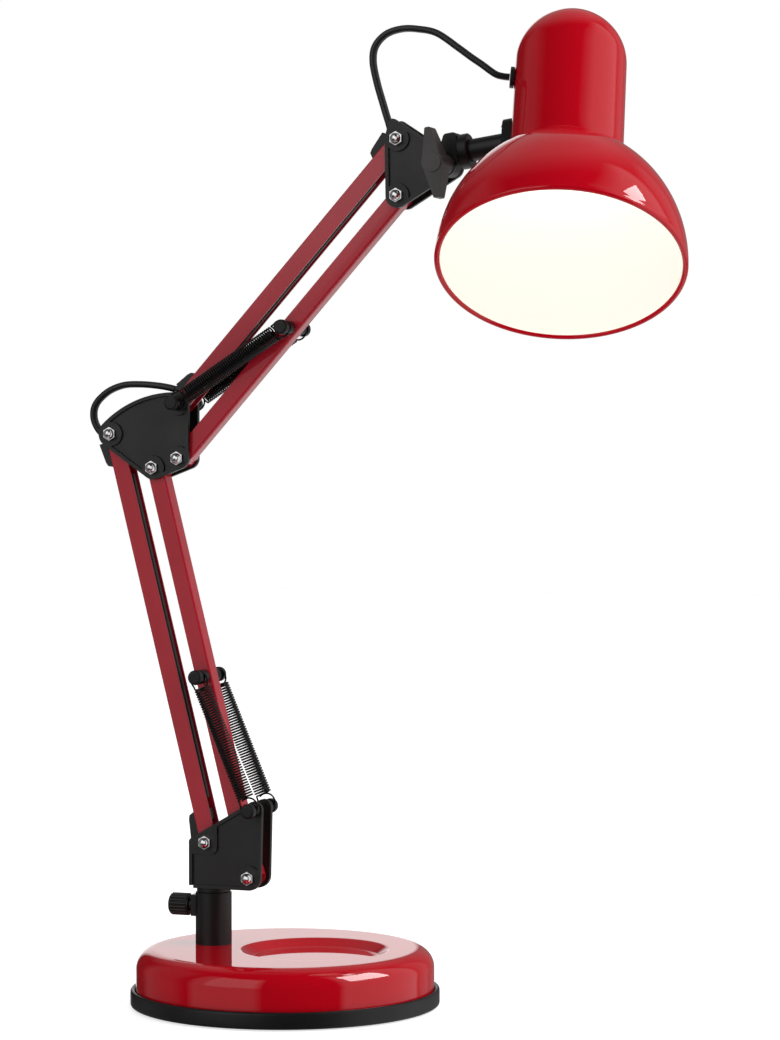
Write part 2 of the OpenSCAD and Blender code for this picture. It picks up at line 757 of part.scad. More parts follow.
// Bars: a folded channel whose web lies on one side, cut short by web_cut at both ends
module bar(p, a, l, side, web_cut, pin_u = 0) {
  color("#9c2430") in_bar(p, a) difference() {
    union() {
      for (s = [-1, 1]) slab(min(s * bar_y, s * (bar_y - bar_t)), max(s * bar_y, s * (bar_y - bar_t))) {
        translate([0, -bar_w / 2]) square([l, bar_w]);
        for (u = [0, l]) translate([u, 0]) circle(d = bar_w);
      }
      translate([web_cut, -bar_y, side > 0 ? bar_w / 2 - bar_t : -bar_w / 2])
        cube([l - 2 * web_cut, bar_d, bar_t]);
    }
    for (u = [0, l]) rod([u, 0], sleeve_d + 2 * run, -bar_d, bar_d);
    if (pin_u > 0) rod([pin_u, 0], 2 * pin_shank_r + 2 * run, -bar_d, bar_d);
  }
}
module lower_rear_bar() bar(rear_low, lower_a, lower_l, 1, guide_l);
module lower_front_bar() bar(front_low, lower_a, lower_l, -1, 0, lower_pin_u);
module upper_top_bar() bar(top_low, upper_a, upper_l, 1, guide_l);
module upper_bottom_bar() bar(bottom_low, upper_a, upper_l, -1, 0, upper_pin_u);

// Cord guides: a plug in the bar's end with a hood on the bar's back, over the slot where the cord comes out
hood_mouth = 11.4;
hood_drop = 1.6;
hood_floor = 4;
hood_lip = 0.6;
hood_tail = 4;
hood_nose = 1.6;
hood_nose_drop = 0.9;
elbow_hood = 10.4;
plug_gap = 0.5;
plug_run = 7;
plug_low = -bar_w / 2 + bar_t + plug_gap;
module guide(way, mouth_u, mouth_v) {
  tip_v = mouth_v - hood_drop;
  difference() {
    slab(-guide_y, guide_y) polygon([[mouth_u + hood_lip, hood_floor], [mouth_u, hood_floor + hood_lip],
      [mouth_u, mouth_v], [guide_l - hood_tail, tip_v], [guide_l - hood_nose, tip_v - hood_nose_drop],
      [guide_l - loose, bar_w / 2], [guide_l - loose, plug_low], [guide_l - plug_run, plug_low]]);
    slab(-tunnel_y, tunnel_y) polygon(concat([for (p = way) p + [0, way_half]],
      [for (i = [len(way) - 1:-1:0]) way[i] - [0, way_half]]));
  }
}
module guides(p, a, l, way, mouth_u, mouth_v) {
  color("#252425") in_bar(p, a) {
    guide(way, mouth_u, mouth_v);
    translate([l, 0, 0]) mirror([1, 0, 0]) guide(guide_way, guide_mouth, hood_mouth);
  }
}
module lower_cord_guides() guides(rear_low, lower_a, lower_l, guide_way, guide_mouth, hood_mouth);
module upper_cord_guides() guides(top_low, upper_a, upper_l, elbow_way, elbow_mouth, elbow_hood);
module cord_in_bar(p, a, l, way) {
  n = len(guide_way) - 1;
  route = concat([for (w = way) lift(w)], [for (i = [n:-1:0]) lift([l - guide_way[i][0], guide_way[i][1]])]);
  in_bar(p, a) cord_tube(route);
}
module lower_cord() cord_in_bar(rear_low, lower_a, lower_l, guide_way);
module upper_cord() cord_in_bar(top_low, upper_a, upper_l, elbow_way);

// The free cord starts a small step outside the mouth of a guide, at the bar's start or at its far end l
cord_step = 1.1;
function outside(way) = way[0] + cord_step * unit(way[0] - way[1]);
function at_start(p, a, way) = let (o = outside(way)) lift(on_bar(p, a, o[0], o[1]));
function at_end(p, a, l) = let (o = outside(guide_way)) lift(on_bar(p, a, l - o[0], o[1]));
module lead_cord() cord_tube(concat([at_start(rear_low, lower_a, guide_way)],
  route_from([post_x, post_top], lead_route)));
module elbow_cord() cord_tube(concat([at_end(rear_low, lower_a, lower_l)], route_from(rear_top, elbow_route),
  [at_start(top_low, upper_a, elbow_way)]));
module head_cord() cord_tube(concat([at_end(top_low, upper_a, upper_l)], route_from(top_end, head_route)));

// Elbow
elbow_rear_margin = 1;
elbow_lug_r = 6.8;
elbow_lobes = [lobe(rear_top, boss_r + elbow_rear_margin), lobe(front_top, boss_r),
  lobe(bottom_low, elbow_lug_r), lobe(top_low, elbow_lug_r)];
module elbow_half() {
  difference() {
    plate(elbow_lobes, [rear_top, front_top, bottom_low, top_low], [elbow_lobes[3], elbow_lobes[0], crown_r]);
    bolt_holes(elbow_pivots, bolt_d + 2 * run);
    rod(top_low, 2 * pin_shank_r + 2 * run, -plate_out - over, 0);
  }
}
module elbow_plate_near() {
  color("#252425") elbow_half();
}
module elbow_plate_far() {
  color("#252425") far_side() elbow_half();
}

// Head bracket
head_margin_top = 0.5;
head_corner_r = 2.8;
head_corner_rise = 9.4;
head_lobes = [lobe(top_end, boss_r + head_margin_top), lobe(bottom_end, boss_r), lobe(tilt, lug_tilt_r),
  [top_end[0] - head_corner_r, top_end[1] + head_corner_rise, head_corner_r]];
module head_half() {
  difference() {
    plate(head_lobes, [top_end, bottom_end, tilt, [head_lobes[3][0], head_lobes[3][1]]]);
    bolt_holes(head_pivots, bolt_d + 2 * run);
    bolt_holes([tilt], tilt_d + 2 * run);
  }
}
module head_plate_near() {
  color("#252425") head_half();
}
module head_plate_far() {
  color("#252425") far_side() head_half();
}
tilt_af = 8;
tilt_hex_h = 3.6;
tilt_nut_h = 7.6;
wing_grip = 12;
module tilt_bolt() {
  color("#9a9a9c") rod(tilt, tilt_d, -plate_out - wing_grip, plate_out + tilt_hex_h - loose);
}
module tilt_nut() {
  color("#d5d6d9") far_side() dome_nut(tilt, tilt_af, tilt_d + 2 * run, -plate_out, tilt_hex_h, tilt_nut_h);
}

// Wing nut: a round hub with a cap, and two fins that taper to blunt tips
wing_lean = -8;
wing_gap = 0.5;
hub_r = 6.6;
hub_inset = 0.4;
hub_at = plate_out + wing_gap;
hub_l = 22.6;
cap_disc_r = 5.8;
cap_disc_h = 0.8;
fin_tip_w = 3.8;
fin_soft = 1.1;
fin_tip_l = 10.5;
fin_start = 6.5;
fin_back = hub_at + fin_start;
fin_front = hub_at + hub_l - cap_disc_h;
module wing_nut() {
  tip = wing_r - fin_soft;
  half = fin_tip_w / 2 - fin_soft;
  side = [[0, fin_back], [hub_r, fin_back], [wing_r, fin_front - fin_tip_l], [wing_r, fin_front],
    [0, fin_front]];
  color("#222122") translate(lift(tilt)) rotate([0, wing_lean, 0]) difference() {
    union() {
      rotate([90, 0, 0]) {
        translate([0, 0, hub_at]) cylinder(r = hub_r, h = hub_l - cap_disc_h);
        translate([0, 0, hub_at]) cylinder(r = cap_disc_r, h = hub_l);
      }
      for (m = [0, 1]) mirror([0, 0, m]) intersection() {
        slab(-hub_at - hub_l, -hub_at)
          lobes([[0, 0, hub_r - hub_inset], [half, tip, fin_soft], [-half, tip, fin_soft]]);
        translate([-2 * hub_r, 0, 0]) rotate([90, 0, 90]) linear_extrude(4 * hub_r)
          polygon([for (q = side) [-q[1], q[0]]]);
      }
    }
    rotate([90, 0, 0]) cylinder(d = tilt_d + 2 * run, h = plate_out + wing_grip + wing_gap);
  }
}

// Knuckle: an eye between the plates and a block that carries the stem's pin
knuckle_y = plate_in - loose;
module knuckle() {
  edge_x = knuckle_end - knuckle_edge;
  color("#222122") in_head() difference() {
    slab(-knuckle_y, knuckle_y) lobes([[0, -stem_rise, lug_tilt_r - eye_inset],
      [edge_x, -knuckle_low, knuckle_edge], [edge_x, knuckle_top - knuckle_edge, knuckle_edge],
      [knuckle_back, knuckle_top - knuckle_soft, knuckle_soft]]);
    rod([0, -stem_rise], tilt_d + 2 * run, -plate_out, plate_out);
    along_x(journal_at) cylinder(d = journal_d + 2 * run, h = collar_end);
    translate([collar_screw_at, 0, 0]) cylinder(d = collar_screw_d + 2 * run, h = 2 * knuckle_top);
  }
}
module collar_screw() {
  color("#9a9a9c") in_head() translate([collar_screw_at, 0, journal_d / 2 - groove_depth + clear])
    cylinder(d = collar_screw_d, h = knuckle_top - journal_d / 2 + groove_depth - 2 * clear);
}

// Pin that the head turns on: pressed into the stem, with a groove for the tip of the knuckle's screw
pin_start = journal_at + clear;
pin_stop = collar_at + journal_grip;
module stem_pin() {
  groove_l = collar_screw_d + 2 * clear;
  color("#9a9a9c") in_head() difference() {
    along_x(pin_start) cylinder(d = journal_d, h = pin_stop - pin_start);
    along_x(collar_screw_at - groove_l / 2) difference() {
      cylinder(d = journal_d + over, h = groove_l);
      cylinder(d = journal_d - 2 * groove_depth, h = groove_l);
    }
  }
}

// Stem with a bevelled ring at its start and a foot that is saddled to the shade's neck
module stem() {
  neck = stem_reach + neck_r;
  color("#222122") in_head() rotate([-shade_turn, 0, 0]) difference() {
    union() {
      along_x(collar_at) rotate_extrude()
        polygon([[0, 0], [collar_r - collar_bevel, 0], [collar_r, collar_bevel],
          [collar_r, collar_l - collar_bevel], [collar_r - collar_bevel, collar_l], [0, collar_l]]);
      along_x(collar_at) cylinder(d = stem_d, h = stem_reach - collar_at - over);
      along_x(stem_reach - foot_t) linear_extrude(foot_t + foot_saddle)
        lobes([[foot_h / 2 - foot_w / 2, 0, foot_w / 2], [-foot_h / 2 + foot_w / 2, 0, foot_w / 2]]);
    }
    translate([neck, 0, -foot_h]) cylinder(r = neck_r + run, h = 2 * foot_h, $fn = 128);
    along_x(collar_at - over) cylinder(d = journal_d + 2 * run, h = journal_grip + over + clear);
    for (z = [-1, 1]) translate([collar_end + clear, 0, z * foot_screw_z]) along_x(0)
      cylinder(d = foot_screw_d + 2 * loose, h = neck);
  }
}
module foot_screws() {
  color("#d5d6d9") in_shade() for (z = [-1, 1]) translate([0, 0, z * foot_screw_z]) {
    along_x(-neck_r - foot_t) cylinder(d = foot_screw_d, h = foot_t + neck_r - strip_x + strip_t);
    difference() {
      along_x(-neck_r - foot_t - foot_head_h) cylinder(d = foot_head_d, h = foot_head_h);
      translate([-neck_r - foot_t - foot_head_h - over, -slot_w / 2, -foot_head_d])
        cube([over + slot_depth, slot_w, 2 * foot_head_d]);
    }
  }
}

// Shade and what it holds
module shade_half(inset) {
  intersection() {
    translate([bell_mid, -mouth_drop]) circle(bell_r - inset, $fn = 180);
    translate([0, -mouth_drop]) square([bell_r, bell_r]);
  }
  translate([0, -mouth_drop]) square([neck_r - inset, mouth_drop + neck_rise]);
  intersection() {
    translate([0, neck_rise]) circle(neck_r - inset, $fn = 128);
    translate([0, neck_rise]) square(neck_r);
  }
}
module shade() {
  color("#b40014") in_shade() difference() {
    rotate_extrude($fn = 180) {
      difference() {
        shade_half(0);
        shade_half(shade_t);
      }
      translate([mouth_r - lip_r, -mouth_drop]) circle(lip_r, $fn = 32);
    }
    for (z = [-1, 1]) translate([-2 * neck_r, 0, z * foot_screw_z]) along_x(0)
      cylinder(d = foot_screw_d + 2 * loose, h = 2 * neck_r);
    rotate(cord_turn) translate([-2 * neck_r, 0, cord_hole_z]) along_x(0)
      cylinder(d = grommet_d + 2 * loose, h = 2 * neck_r);
  }
}
module neck_grommet() {
  color("#1c1b1c") in_shade() rotate(cord_turn) translate([0, 0, cord_hole_z]) difference() {
    union() {
      along_x(-neck_r - grommet_out) cylinder(d = grommet_d, h = neck_grommet_in + grommet_out);
      along_x(-neck_r - grommet_lip - loose) cylinder(d = grommet_d + 2 * grommet_lip_w, h = grommet_lip);
    }
    along_x(-neck_r - 2 * grommet_lip) cylinder(d = cord_w + 2 * clear, h = 4 * neck_grommet_in);
  }
}
module holder_bracket() {
  low = -foot_screw_z - strip_end;
  color("#9a9a9c") in_shade() difference() {
    union() {
      translate([-strip_x, -strip_w / 2, low]) cube([strip_t, strip_w, holder_top + strip_t - low]);
      translate([-strip_x, -strip_w / 2, holder_top]) cube([strip_x + strip_reach, strip_w, strip_t]);
    }
    for (z = [-1, 1]) translate([0, 0, z * foot_screw_z]) along_x(-neck_r)
      cylinder(d = foot_screw_d + 2 * loose, h = neck_r);
  }
}
module lampholder() {
  color("#2a2a2b") in_shade() difference() {
    union() {
      translate([0, 0, holder_top - holder_h]) cylinder(r = holder_r, h = holder_skirt);
      translate([0, 0, holder_top - holder_h]) cylinder(r = holder_r - holder_step, h = holder_h);
    }
    translate([0, 0, holder_top - holder_h - over])
      cylinder(r = cap_r + cap_gap, h = cap_top + loose - holder_top + holder_h + over);
  }
}
module bulb_cap() {
  color("#c9c6bd") in_shade() translate([0, 0, cap_top - cap_h]) {
    cylinder(r = cap_r, h = cap_h - cap_cone);
    translate([0, 0, cap_h - cap_cone]) cylinder(r1 = cap_r, r2 = cap_tip_r, h = cap_cone);
  }
}
module bulb_form(inset) {
  globe_r = bulb_d / 2;
  lean = asin((globe_r - cap_r) / (glass_top - globe_z));
  translate([0, 0, globe_z]) sphere(globe_r - inset);
  shoulder = globe_z + globe_r * sin(lean);
  translate([0, 0, shoulder])
    cylinder(r1 = globe_r * cos(lean) - inset, r2 = cap_r - inset, h = glass_top - shoulder);
}
module bulb_glass() {
  color("#fff6e0") in_shade() difference() {
    bulb_form(0);
    bulb_form(glass_t);
    translate([0, 0, glass_top]) cylinder(r = bulb_d, h = 2 * bulb_d);
  }
}

base_tray();
foot_pad();
ballast();
base_cover();
post();
post_washer();
post_nut();
tray_screws();
lead_grommet();
thumb_screw();
thumb_knob();
swivel_spigot();
lower_bracket_near();
lower_bracket_far();
lower_pivot_bolts();
lower_pivot_nuts();
lower_pivot_sleeves();
bracket_spring_posts();
lead_cord();
lower_rear_bar();
lower_cord_guides();
lower_cord();
lower_front_bar();
lower_spring_pin();
lower_spring_near();
lower_spring_far();
elbow_plate_near();
elbow_plate_far();
elbow_pivot_bolts();
elbow_pivot_nuts();
elbow_pivot_sleeves();
elbow_spring_pin();
elbow_cord();
upper_top_bar();
upper_cord_guides();
upper_cord();
upper_bottom_bar();
upper_spring_pin();
upper_spring_near();
upper_spring_far();
head_plate_near();
head_plate_far();
head_pivot_bolts();
head_pivot_nuts();
head_pivot_sleeves();
tilt_bolt();
tilt_nut();
wing_nut();
head_cord();
knuckle();
collar_screw();
stem_pin();
stem();
foot_screws();
shade();
neck_grommet();
holder_bracket();
lampholder();
bulb_cap();
bulb_glass();
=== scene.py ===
import json
import math
import bmesh
import bpy
import numpy as np
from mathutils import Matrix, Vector


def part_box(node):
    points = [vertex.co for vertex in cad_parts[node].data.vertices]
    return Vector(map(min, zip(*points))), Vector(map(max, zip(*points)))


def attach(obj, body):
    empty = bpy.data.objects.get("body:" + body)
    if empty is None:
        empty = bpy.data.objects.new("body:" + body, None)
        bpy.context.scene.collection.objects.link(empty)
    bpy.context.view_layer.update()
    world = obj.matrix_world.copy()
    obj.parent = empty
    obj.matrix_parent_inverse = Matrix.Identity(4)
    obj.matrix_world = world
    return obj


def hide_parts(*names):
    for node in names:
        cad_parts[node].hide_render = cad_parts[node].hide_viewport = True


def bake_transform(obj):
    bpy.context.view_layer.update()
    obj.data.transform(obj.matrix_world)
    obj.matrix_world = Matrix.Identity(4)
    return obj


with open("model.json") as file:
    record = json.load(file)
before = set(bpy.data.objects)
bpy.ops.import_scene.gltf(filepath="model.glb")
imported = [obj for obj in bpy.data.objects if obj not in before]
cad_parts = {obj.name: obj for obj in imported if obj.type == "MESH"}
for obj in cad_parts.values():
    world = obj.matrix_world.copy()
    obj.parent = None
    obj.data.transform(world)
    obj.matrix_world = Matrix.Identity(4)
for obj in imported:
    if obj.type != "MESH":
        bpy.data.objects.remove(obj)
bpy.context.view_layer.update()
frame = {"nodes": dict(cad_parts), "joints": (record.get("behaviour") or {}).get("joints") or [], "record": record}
bodyOf = {n: body for body, names in frame["record"]["behaviour"]["bodies"].items() for n in names}
jointAt = {j["name"]: np.array(j["pos_m"]) for j in frame["joints"]}
jointWay = {j["name"]: np.array(j["axis"]) for j in frame["joints"]}
mm = 0.001
acrossArm = np.array([0.0, 1.0, 0.0])

# Pivots of the arm, from the frame's joints
rearLow = jointAt["lower_arm_swing"]
rearTop = jointAt["elbow_level"]
topLow = jointAt["upper_arm_swing"]
topEnd = jointAt["head_level"]
stemAt = jointAt["head_turn"]
stemWay = jointWay["head_turn"] / np.linalg.norm(jointWay["head_turn"])


def nodeMiddle(node):
    low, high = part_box(node)
    return np.array((low + high) / 2)


# Camera: a long lens a little above the table, turned towards the front of the arm
cameraView = dict(place=(0.7135, -1.8189, 0.3335), ahead=(-0.3343, 0.9425), dip=1.042, lens=110.2)


def addCamera(view):
    camera = bpy.data.objects.new("camera", bpy.data.cameras.new("camera"))
    bpy.context.scene.collection.objects.link(camera)
    camera.data.lens = view["lens"]
    camera.data.sensor_width = 36
    camera.data.clip_end = 50
    camera.location = view["place"]
    dip = math.radians(view["dip"])
    ahead = Vector((view["ahead"][0] * math.cos(dip), view["ahead"][1] * math.cos(dip), -math.sin(dip)))
    camera.rotation_mode = "QUATERNION"
    camera.rotation_quaternion = ahead.to_track_quat("-Z", "Y")
    bpy.context.scene.camera = camera


addCamera(cameraView)
print("camera set")


# Node groups: each gives only values that change over the surface
def newGroup(name, inputs, outputs):
    tree = bpy.data.node_groups.new(name, "ShaderNodeTree")
    for label, value in inputs.items():
        socket = tree.interface.new_socket(name=label, in_out="INPUT", socket_type="NodeSocketFloat")
        socket.default_value = value
    for label in outputs:
        tree.interface.new_socket(name=label, in_out="OUTPUT", socket_type="NodeSocketFloat")
    return tree, tree.nodes.new("NodeGroupInput"), tree.nodes.new("NodeGroupOutput")


def addNoise(tree, place, scale, detail, roughness=0.5):
    noise = tree.nodes.new("ShaderNodeTexNoise")
    noise.inputs["Detail"].default_value = detail
    noise.inputs["Roughness"].default_value = roughness
    tree.links.new(place, noise.inputs["Vector"])
    if isinstance(scale, (int, float)):
        noise.inputs["Scale"].default_value = scale
    else:
        tree.links.new(scale, noise.inputs["Scale"])
    return noise.outputs["Fac"]


def addMath(tree, operation, first, second, clamp=False):
    node = tree.nodes.new("ShaderNodeMath")
    node.operation = operation
    node.use_clamp = clamp
    for socket, value in zip(node.inputs, (first, second)):
        if isinstance(value, (int, float)):
            socket.default_value = value
        else:
            tree.links.new(value, socket)
    return node.outputs[0]


def addRange(tree, value, low, high, toLow=0.0, toHigh=1.0):
    node = tree.nodes.new("ShaderNodeMapRange")
    tree.links.new(value, node.inputs["Value"])
    for label, number in (("From Min", low), ("From Max", high), ("To Min", toLow), ("To Max", toHigh)):
        if isinstance(number, (int, float)):
            node.inputs[label].default_value = number
        else:
            tree.links.new(number, node.inputs[label])
    return node.outputs["Result"]


def addDot(tree, direction, axis):
    node = tree.nodes.new("ShaderNodeVectorMath")
    node.operation = "DOT_PRODUCT"
    tree.links.new(direction, node.inputs[0])
    node.inputs[1].default_value = axis
    return node.outputs["Value"]


def objectPlace(tree):
    return tree.nodes.new("ShaderNodeTexCoord").outputs["Object"]


# Sprayed paint: long soft ripples of the coat, and a slow drift of its tone
flowShape = dict(ripples=300.0, rippleDetail=1.5, drift=9.0, driftDetail=3, tone=(0.3, 0.7))


def makePaintFlow(shape):
    inputs = {"Ripples": shape["ripples"], "Drift": shape["drift"]}
    tree, given, out = newGroup("paintFlow", inputs, ("Height", "Tone"))
    place = objectPlace(tree)
    ripple = addNoise(tree, place, given.outputs["Ripples"], shape["rippleDetail"])
    drift = addNoise(tree, place, given.outputs["Drift"], shape["driftDetail"])
    tree.links.new(ripple, out.inputs["Height"])
    tree.links.new(addRange(tree, drift, *shape["tone"]), out.inputs["Tone"])
    return tree


# Moulded plastic: fine spark-eroded grain, with a coarse cloud that dulls or polishes it
grainShape = dict(grain=1900.0, grainDetail=3, grainRough=0.62, cloud=45.0, cloudDetail=4, tone=(0.32, 0.68))


def makeMouldGrain(shape):
    inputs = {"Grain": shape["grain"], "Cloud": shape["cloud"]}
    tree, given, out = newGroup("mouldGrain", inputs, ("Height", "Tone"))
    place = objectPlace(tree)
    grain = addNoise(tree, place, given.outputs["Grain"], shape["grainDetail"], shape["grainRough"])
    cloud = addNoise(tree, place, given.outputs["Cloud"], shape["cloudDetail"])
    tree.links.new(grain, out.inputs["Height"])
    tree.links.new(addRange(tree, cloud, *shape["tone"]), out.inputs["Tone"])
    return tree


# Settled dust: small flecks that lie thicker on faces that look up
dustShape = dict(flecks=700.0, amount=0.3, detail=4, rough=0.7, speck=(0.56, 0.74), upward=(-0.2, 0.9),
    share=(0.25, 1.0))


def makeDust(shape):
    inputs = {"Flecks": shape["flecks"], "Amount": shape["amount"]}
    tree, given, out = newGroup("settledDust", inputs, ("Mask",))
    noise = addNoise(tree, objectPlace(tree), given.outputs["Flecks"], shape["detail"], shape["rough"])
    fleck = addRange(tree, noise, *shape["speck"])
    normal = tree.nodes.new("ShaderNodeNewGeometry").outputs["Normal"]
    split = tree.nodes.new("ShaderNodeSeparateXYZ")
    tree.links.new(normal, split.inputs[0])
    facing = addRange(tree, split.outputs["Z"], *shape["upward"], *shape["share"])
    mask = addMath(tree, "MULTIPLY", addMath(tree, "MULTIPLY", fleck, facing), given.outputs["Amount"])
    tree.links.new(mask, out.inputs["Mask"])
    return tree


# Handling marks on bare metal: hairlines along one direction
hairlineShape = dict(lines=900.0, stretch=0.08, detail=2, tone=(0.35, 0.65))


def makeHairlines(shape):
    inputs = {"Lines": shape["lines"], "Stretch": shape["stretch"]}
    tree, given, out = newGroup("hairlines", inputs, ("Height", "Tone"))
    combine = tree.nodes.new("ShaderNodeCombineXYZ")
    combine.inputs["X"].default_value = 1.0
    combine.inputs["Z"].default_value = 1.0
    tree.links.new(given.outputs["Stretch"], combine.inputs["Y"])
    stretch = tree.nodes.new("ShaderNodeVectorMath")
    stretch.operation = "MULTIPLY"
    tree.links.new(objectPlace(tree), stretch.inputs[0])
    tree.links.new(combine.outputs[0], stretch.inputs[1])
    fine = addNoise(tree, stretch.outputs[0], given.outputs["Lines"], shape["detail"])
    tree.links.new(fine, out.inputs["Height"])
    tree.links.new(addRange(tree, fine, *shape["tone"]), out.inputs["Tone"])
    return tree


paintFlow = makePaintFlow(flowShape)
mouldGrain = makeMouldGrain(grainShape)
settledDust = makeDust(dustShape)
hairlines = makeHairlines(hairlineShape)
print("node groups made")


# One material from a look: the texture group drives tone, roughness and bump, dust lies over it
def newMaterial(name, look):
    material = bpy.data.materials.new(name)
    material.use_nodes = True
    material.diffuse_color = look["colour"]
    tree = material.node_tree
    shader = tree.nodes["Principled BSDF"]
    texture = tree.nodes.new("ShaderNodeGroup")
    texture.node_tree = look["texture"]
    for label, value in look["sizes"].items():
        texture.inputs[label].default_value = value
    tone = tree.nodes.new("ShaderNodeMix")
    tone.data_type = "RGBA"
    tree.links.new(texture.outputs["Tone"], tone.inputs["Factor"])
    tone.inputs["A"].default_value = look["colour"]
    tone.inputs["B"].default_value = look["deep"]
    dust = tree.nodes.new("ShaderNodeGroup")
    dust.node_tree = settledDust
    dust.inputs["Amount"].default_value = look["dust"]
    dusty = tree.nodes.new("ShaderNodeMix")
    dusty.data_type = "RGBA"
    tree.links.new(dust.outputs["Mask"], dusty.inputs["Factor"])
    tree.links.new(tone.outputs["Result"], dusty.inputs["A"])
    dusty.inputs["B"].default_value = look["dustColour"]
    tree.links.new(dusty.outputs["Result"], shader.inputs["Base Color"])
    rough = addRange(tree, texture.outputs["Tone"], 0.0, 1.0, look["rough"][0], look["rough"][1])
    tree.links.new(addMath(tree, "ADD", rough, dust.outputs["Mask"], True), shader.inputs["Roughness"])
    bump = tree.nodes.new("ShaderNodeBump")
    bump.inputs["Strength"].default_value = look["bump"]
    bump.inputs["Distance"].default_value = look["depth"]
    tree.links.new(texture.outputs["Height"], bump.inputs["Height"])
    tree.links.new(bump.outputs["Normal"], shader.inputs["Normal"])
    for label, value in look["shader"].items():
        shader.inputs[label].default_value = value
    return material


glossRedLook = dict(texture=paintFlow, sizes={"Ripples": 260.0, "Drift": 7.0},
    colour=(0.58, 0.0015, 0.0115, 1), deep=(0.535, 0.0012, 0.0095, 1), dust=0.004,
    dustColour=(0.6, 0.3, 0.3, 1), rough=(0.2, 0.26), bump=0.05, depth=0.0004,
    shader={"Coat Weight": 1.0, "Coat Roughness": 0.03, "Coat IOR": 1.48, "Specular IOR Level": 0.0})
satinRedLook = dict(texture=paintFlow, sizes={"Ripples": 900.0, "Drift": 22.0}, colour=(0.5, 0.013, 0.03, 1),
    deep=(0.44, 0.01, 0.024, 1), dust=0.05, dustColour=(0.45, 0.25, 0.25, 1), rough=(0.3, 0.38), bump=0.12,
    depth=0.0003,
    shader={"Coat Weight": 1.0, "Coat Roughness": 0.08, "Coat IOR": 1.5, "Specular IOR Level": 0.1})
# The shade's white inside paint also glows: painted light from the bulb, graded further below
shadeWhitePaintedLightLook = dict(texture=paintFlow, sizes={"Ripples": 300.0, "Drift": 12.0},
    colour=(0.9, 0.88, 0.83, 1), deep=(0.88, 0.86, 0.81, 1), dust=0.0, dustColour=(0.8, 0.78, 0.7, 1),
    rough=(0.45, 0.5), bump=0.05, depth=0.0003, shader={"Emission Strength": 0.3})
blackPlasticLook = dict(texture=mouldGrain, sizes={"Grain": 1700.0, "Cloud": 40.0},
    colour=(0.0135, 0.013, 0.0128, 1), deep=(0.0102, 0.0098, 0.0098, 1), dust=0.06,
    dustColour=(0.2, 0.19, 0.185, 1), rough=(0.34, 0.44), bump=0.2, depth=0.00025, shader={"IOR": 1.5})
headPlasticLook = dict(texture=mouldGrain, sizes={"Grain": 1700.0, "Cloud": 40.0},
    colour=(0.054, 0.0515, 0.05, 1), deep=(0.044, 0.042, 0.041, 1), dust=0.06,
    dustColour=(0.2, 0.19, 0.185, 1), rough=(0.36, 0.46), bump=0.2, depth=0.00025, shader={"IOR": 1.5})
# The plates' outer edges: glossier, as polished by handling, and lighter in colour than the plate, which is a
# painted highlight
plateEdgePolishAndHighlightLook = dict(texture=mouldGrain, sizes={"Grain": 1700.0, "Cloud": 40.0},
    colour=(0.026, 0.0252, 0.025, 1), deep=(0.02, 0.0192, 0.019, 1), dust=0.04,
    dustColour=(0.2, 0.19, 0.185, 1), rough=(0.18, 0.24), bump=0.08, depth=0.0002, shader={"IOR": 1.6})
# Painted shade: a near-black matte for the rounding in the plates' hollow corners, so the recesses read dark
plateHollowShadeLook = dict(texture=mouldGrain, sizes={"Grain": 1700.0, "Cloud": 40.0},
    colour=(0.004, 0.0038, 0.0038, 1), deep=(0.003, 0.0029, 0.0029, 1), dust=0.01,
    dustColour=(0.1, 0.095, 0.09, 1), rough=(0.55, 0.65), bump=0.1, depth=0.0002,
    shader={"IOR": 1.4, "Specular IOR Level": 0.1})
blackGlossLook = dict(texture=mouldGrain, sizes={"Grain": 900.0, "Cloud": 30.0},
    colour=(0.011, 0.011, 0.0115, 1), deep=(0.008, 0.008, 0.0085, 1), dust=0.03,
    dustColour=(0.2, 0.19, 0.185, 1), rough=(0.34, 0.42), bump=0.08, depth=0.0002,
    shader={"IOR": 1.5, "Specular IOR Level": 0.35})
springSteelLook = dict(texture=hairlines, sizes={"Lines": 700.0, "Stretch": 0.3},
    colour=(0.006, 0.006, 0.0062, 1), deep=(0.004, 0.004, 0.0042, 1), dust=0.01,
    dustColour=(0.16, 0.155, 0.15, 1), rough=(0.26, 0.34), bump=0.04, depth=0.0001,
    shader={"IOR": 1.5, "Specular IOR Level": 0.3})
rubberLook = dict(texture=mouldGrain, sizes={"Grain": 1200.0, "Cloud": 60.0},
    colour=(0.012, 0.012, 0.0125, 1), deep=(0.009, 0.009, 0.0095, 1), dust=0.05,
    dustColour=(0.18, 0.17, 0.165, 1), rough=(0.32, 0.42), bump=0.08, depth=0.0002, shader={"IOR": 1.5})
chromeLook = dict(texture=hairlines, sizes={"Lines": 1400.0, "Stretch": 0.4}, colour=(0.82, 0.82, 0.84, 1),
    deep=(0.74, 0.74, 0.76, 1), dust=0.02, dustColour=(0.4, 0.4, 0.4, 1), rough=(0.15, 0.21), bump=0.04,
    depth=0.0001, shader={"Metallic": 1.0})
zincLook = dict(texture=hairlines, sizes={"Lines": 1100.0, "Stretch": 0.1}, colour=(0.56, 0.56, 0.57, 1),
    deep=(0.46, 0.46, 0.47, 1), dust=0.04, dustColour=(0.35, 0.34, 0.33, 1), rough=(0.25, 0.36), bump=0.1,
    depth=0.0001, shader={"Metallic": 1.0})
castIronLook = dict(texture=mouldGrain, sizes={"Grain": 500.0, "Cloud": 30.0},
    colour=(0.075, 0.075, 0.08, 1), deep=(0.05, 0.05, 0.052, 1), dust=0.1, dustColour=(0.2, 0.17, 0.15, 1),
    rough=(0.6, 0.75), bump=0.5, depth=0.0006, shader={"Metallic": 0.8})
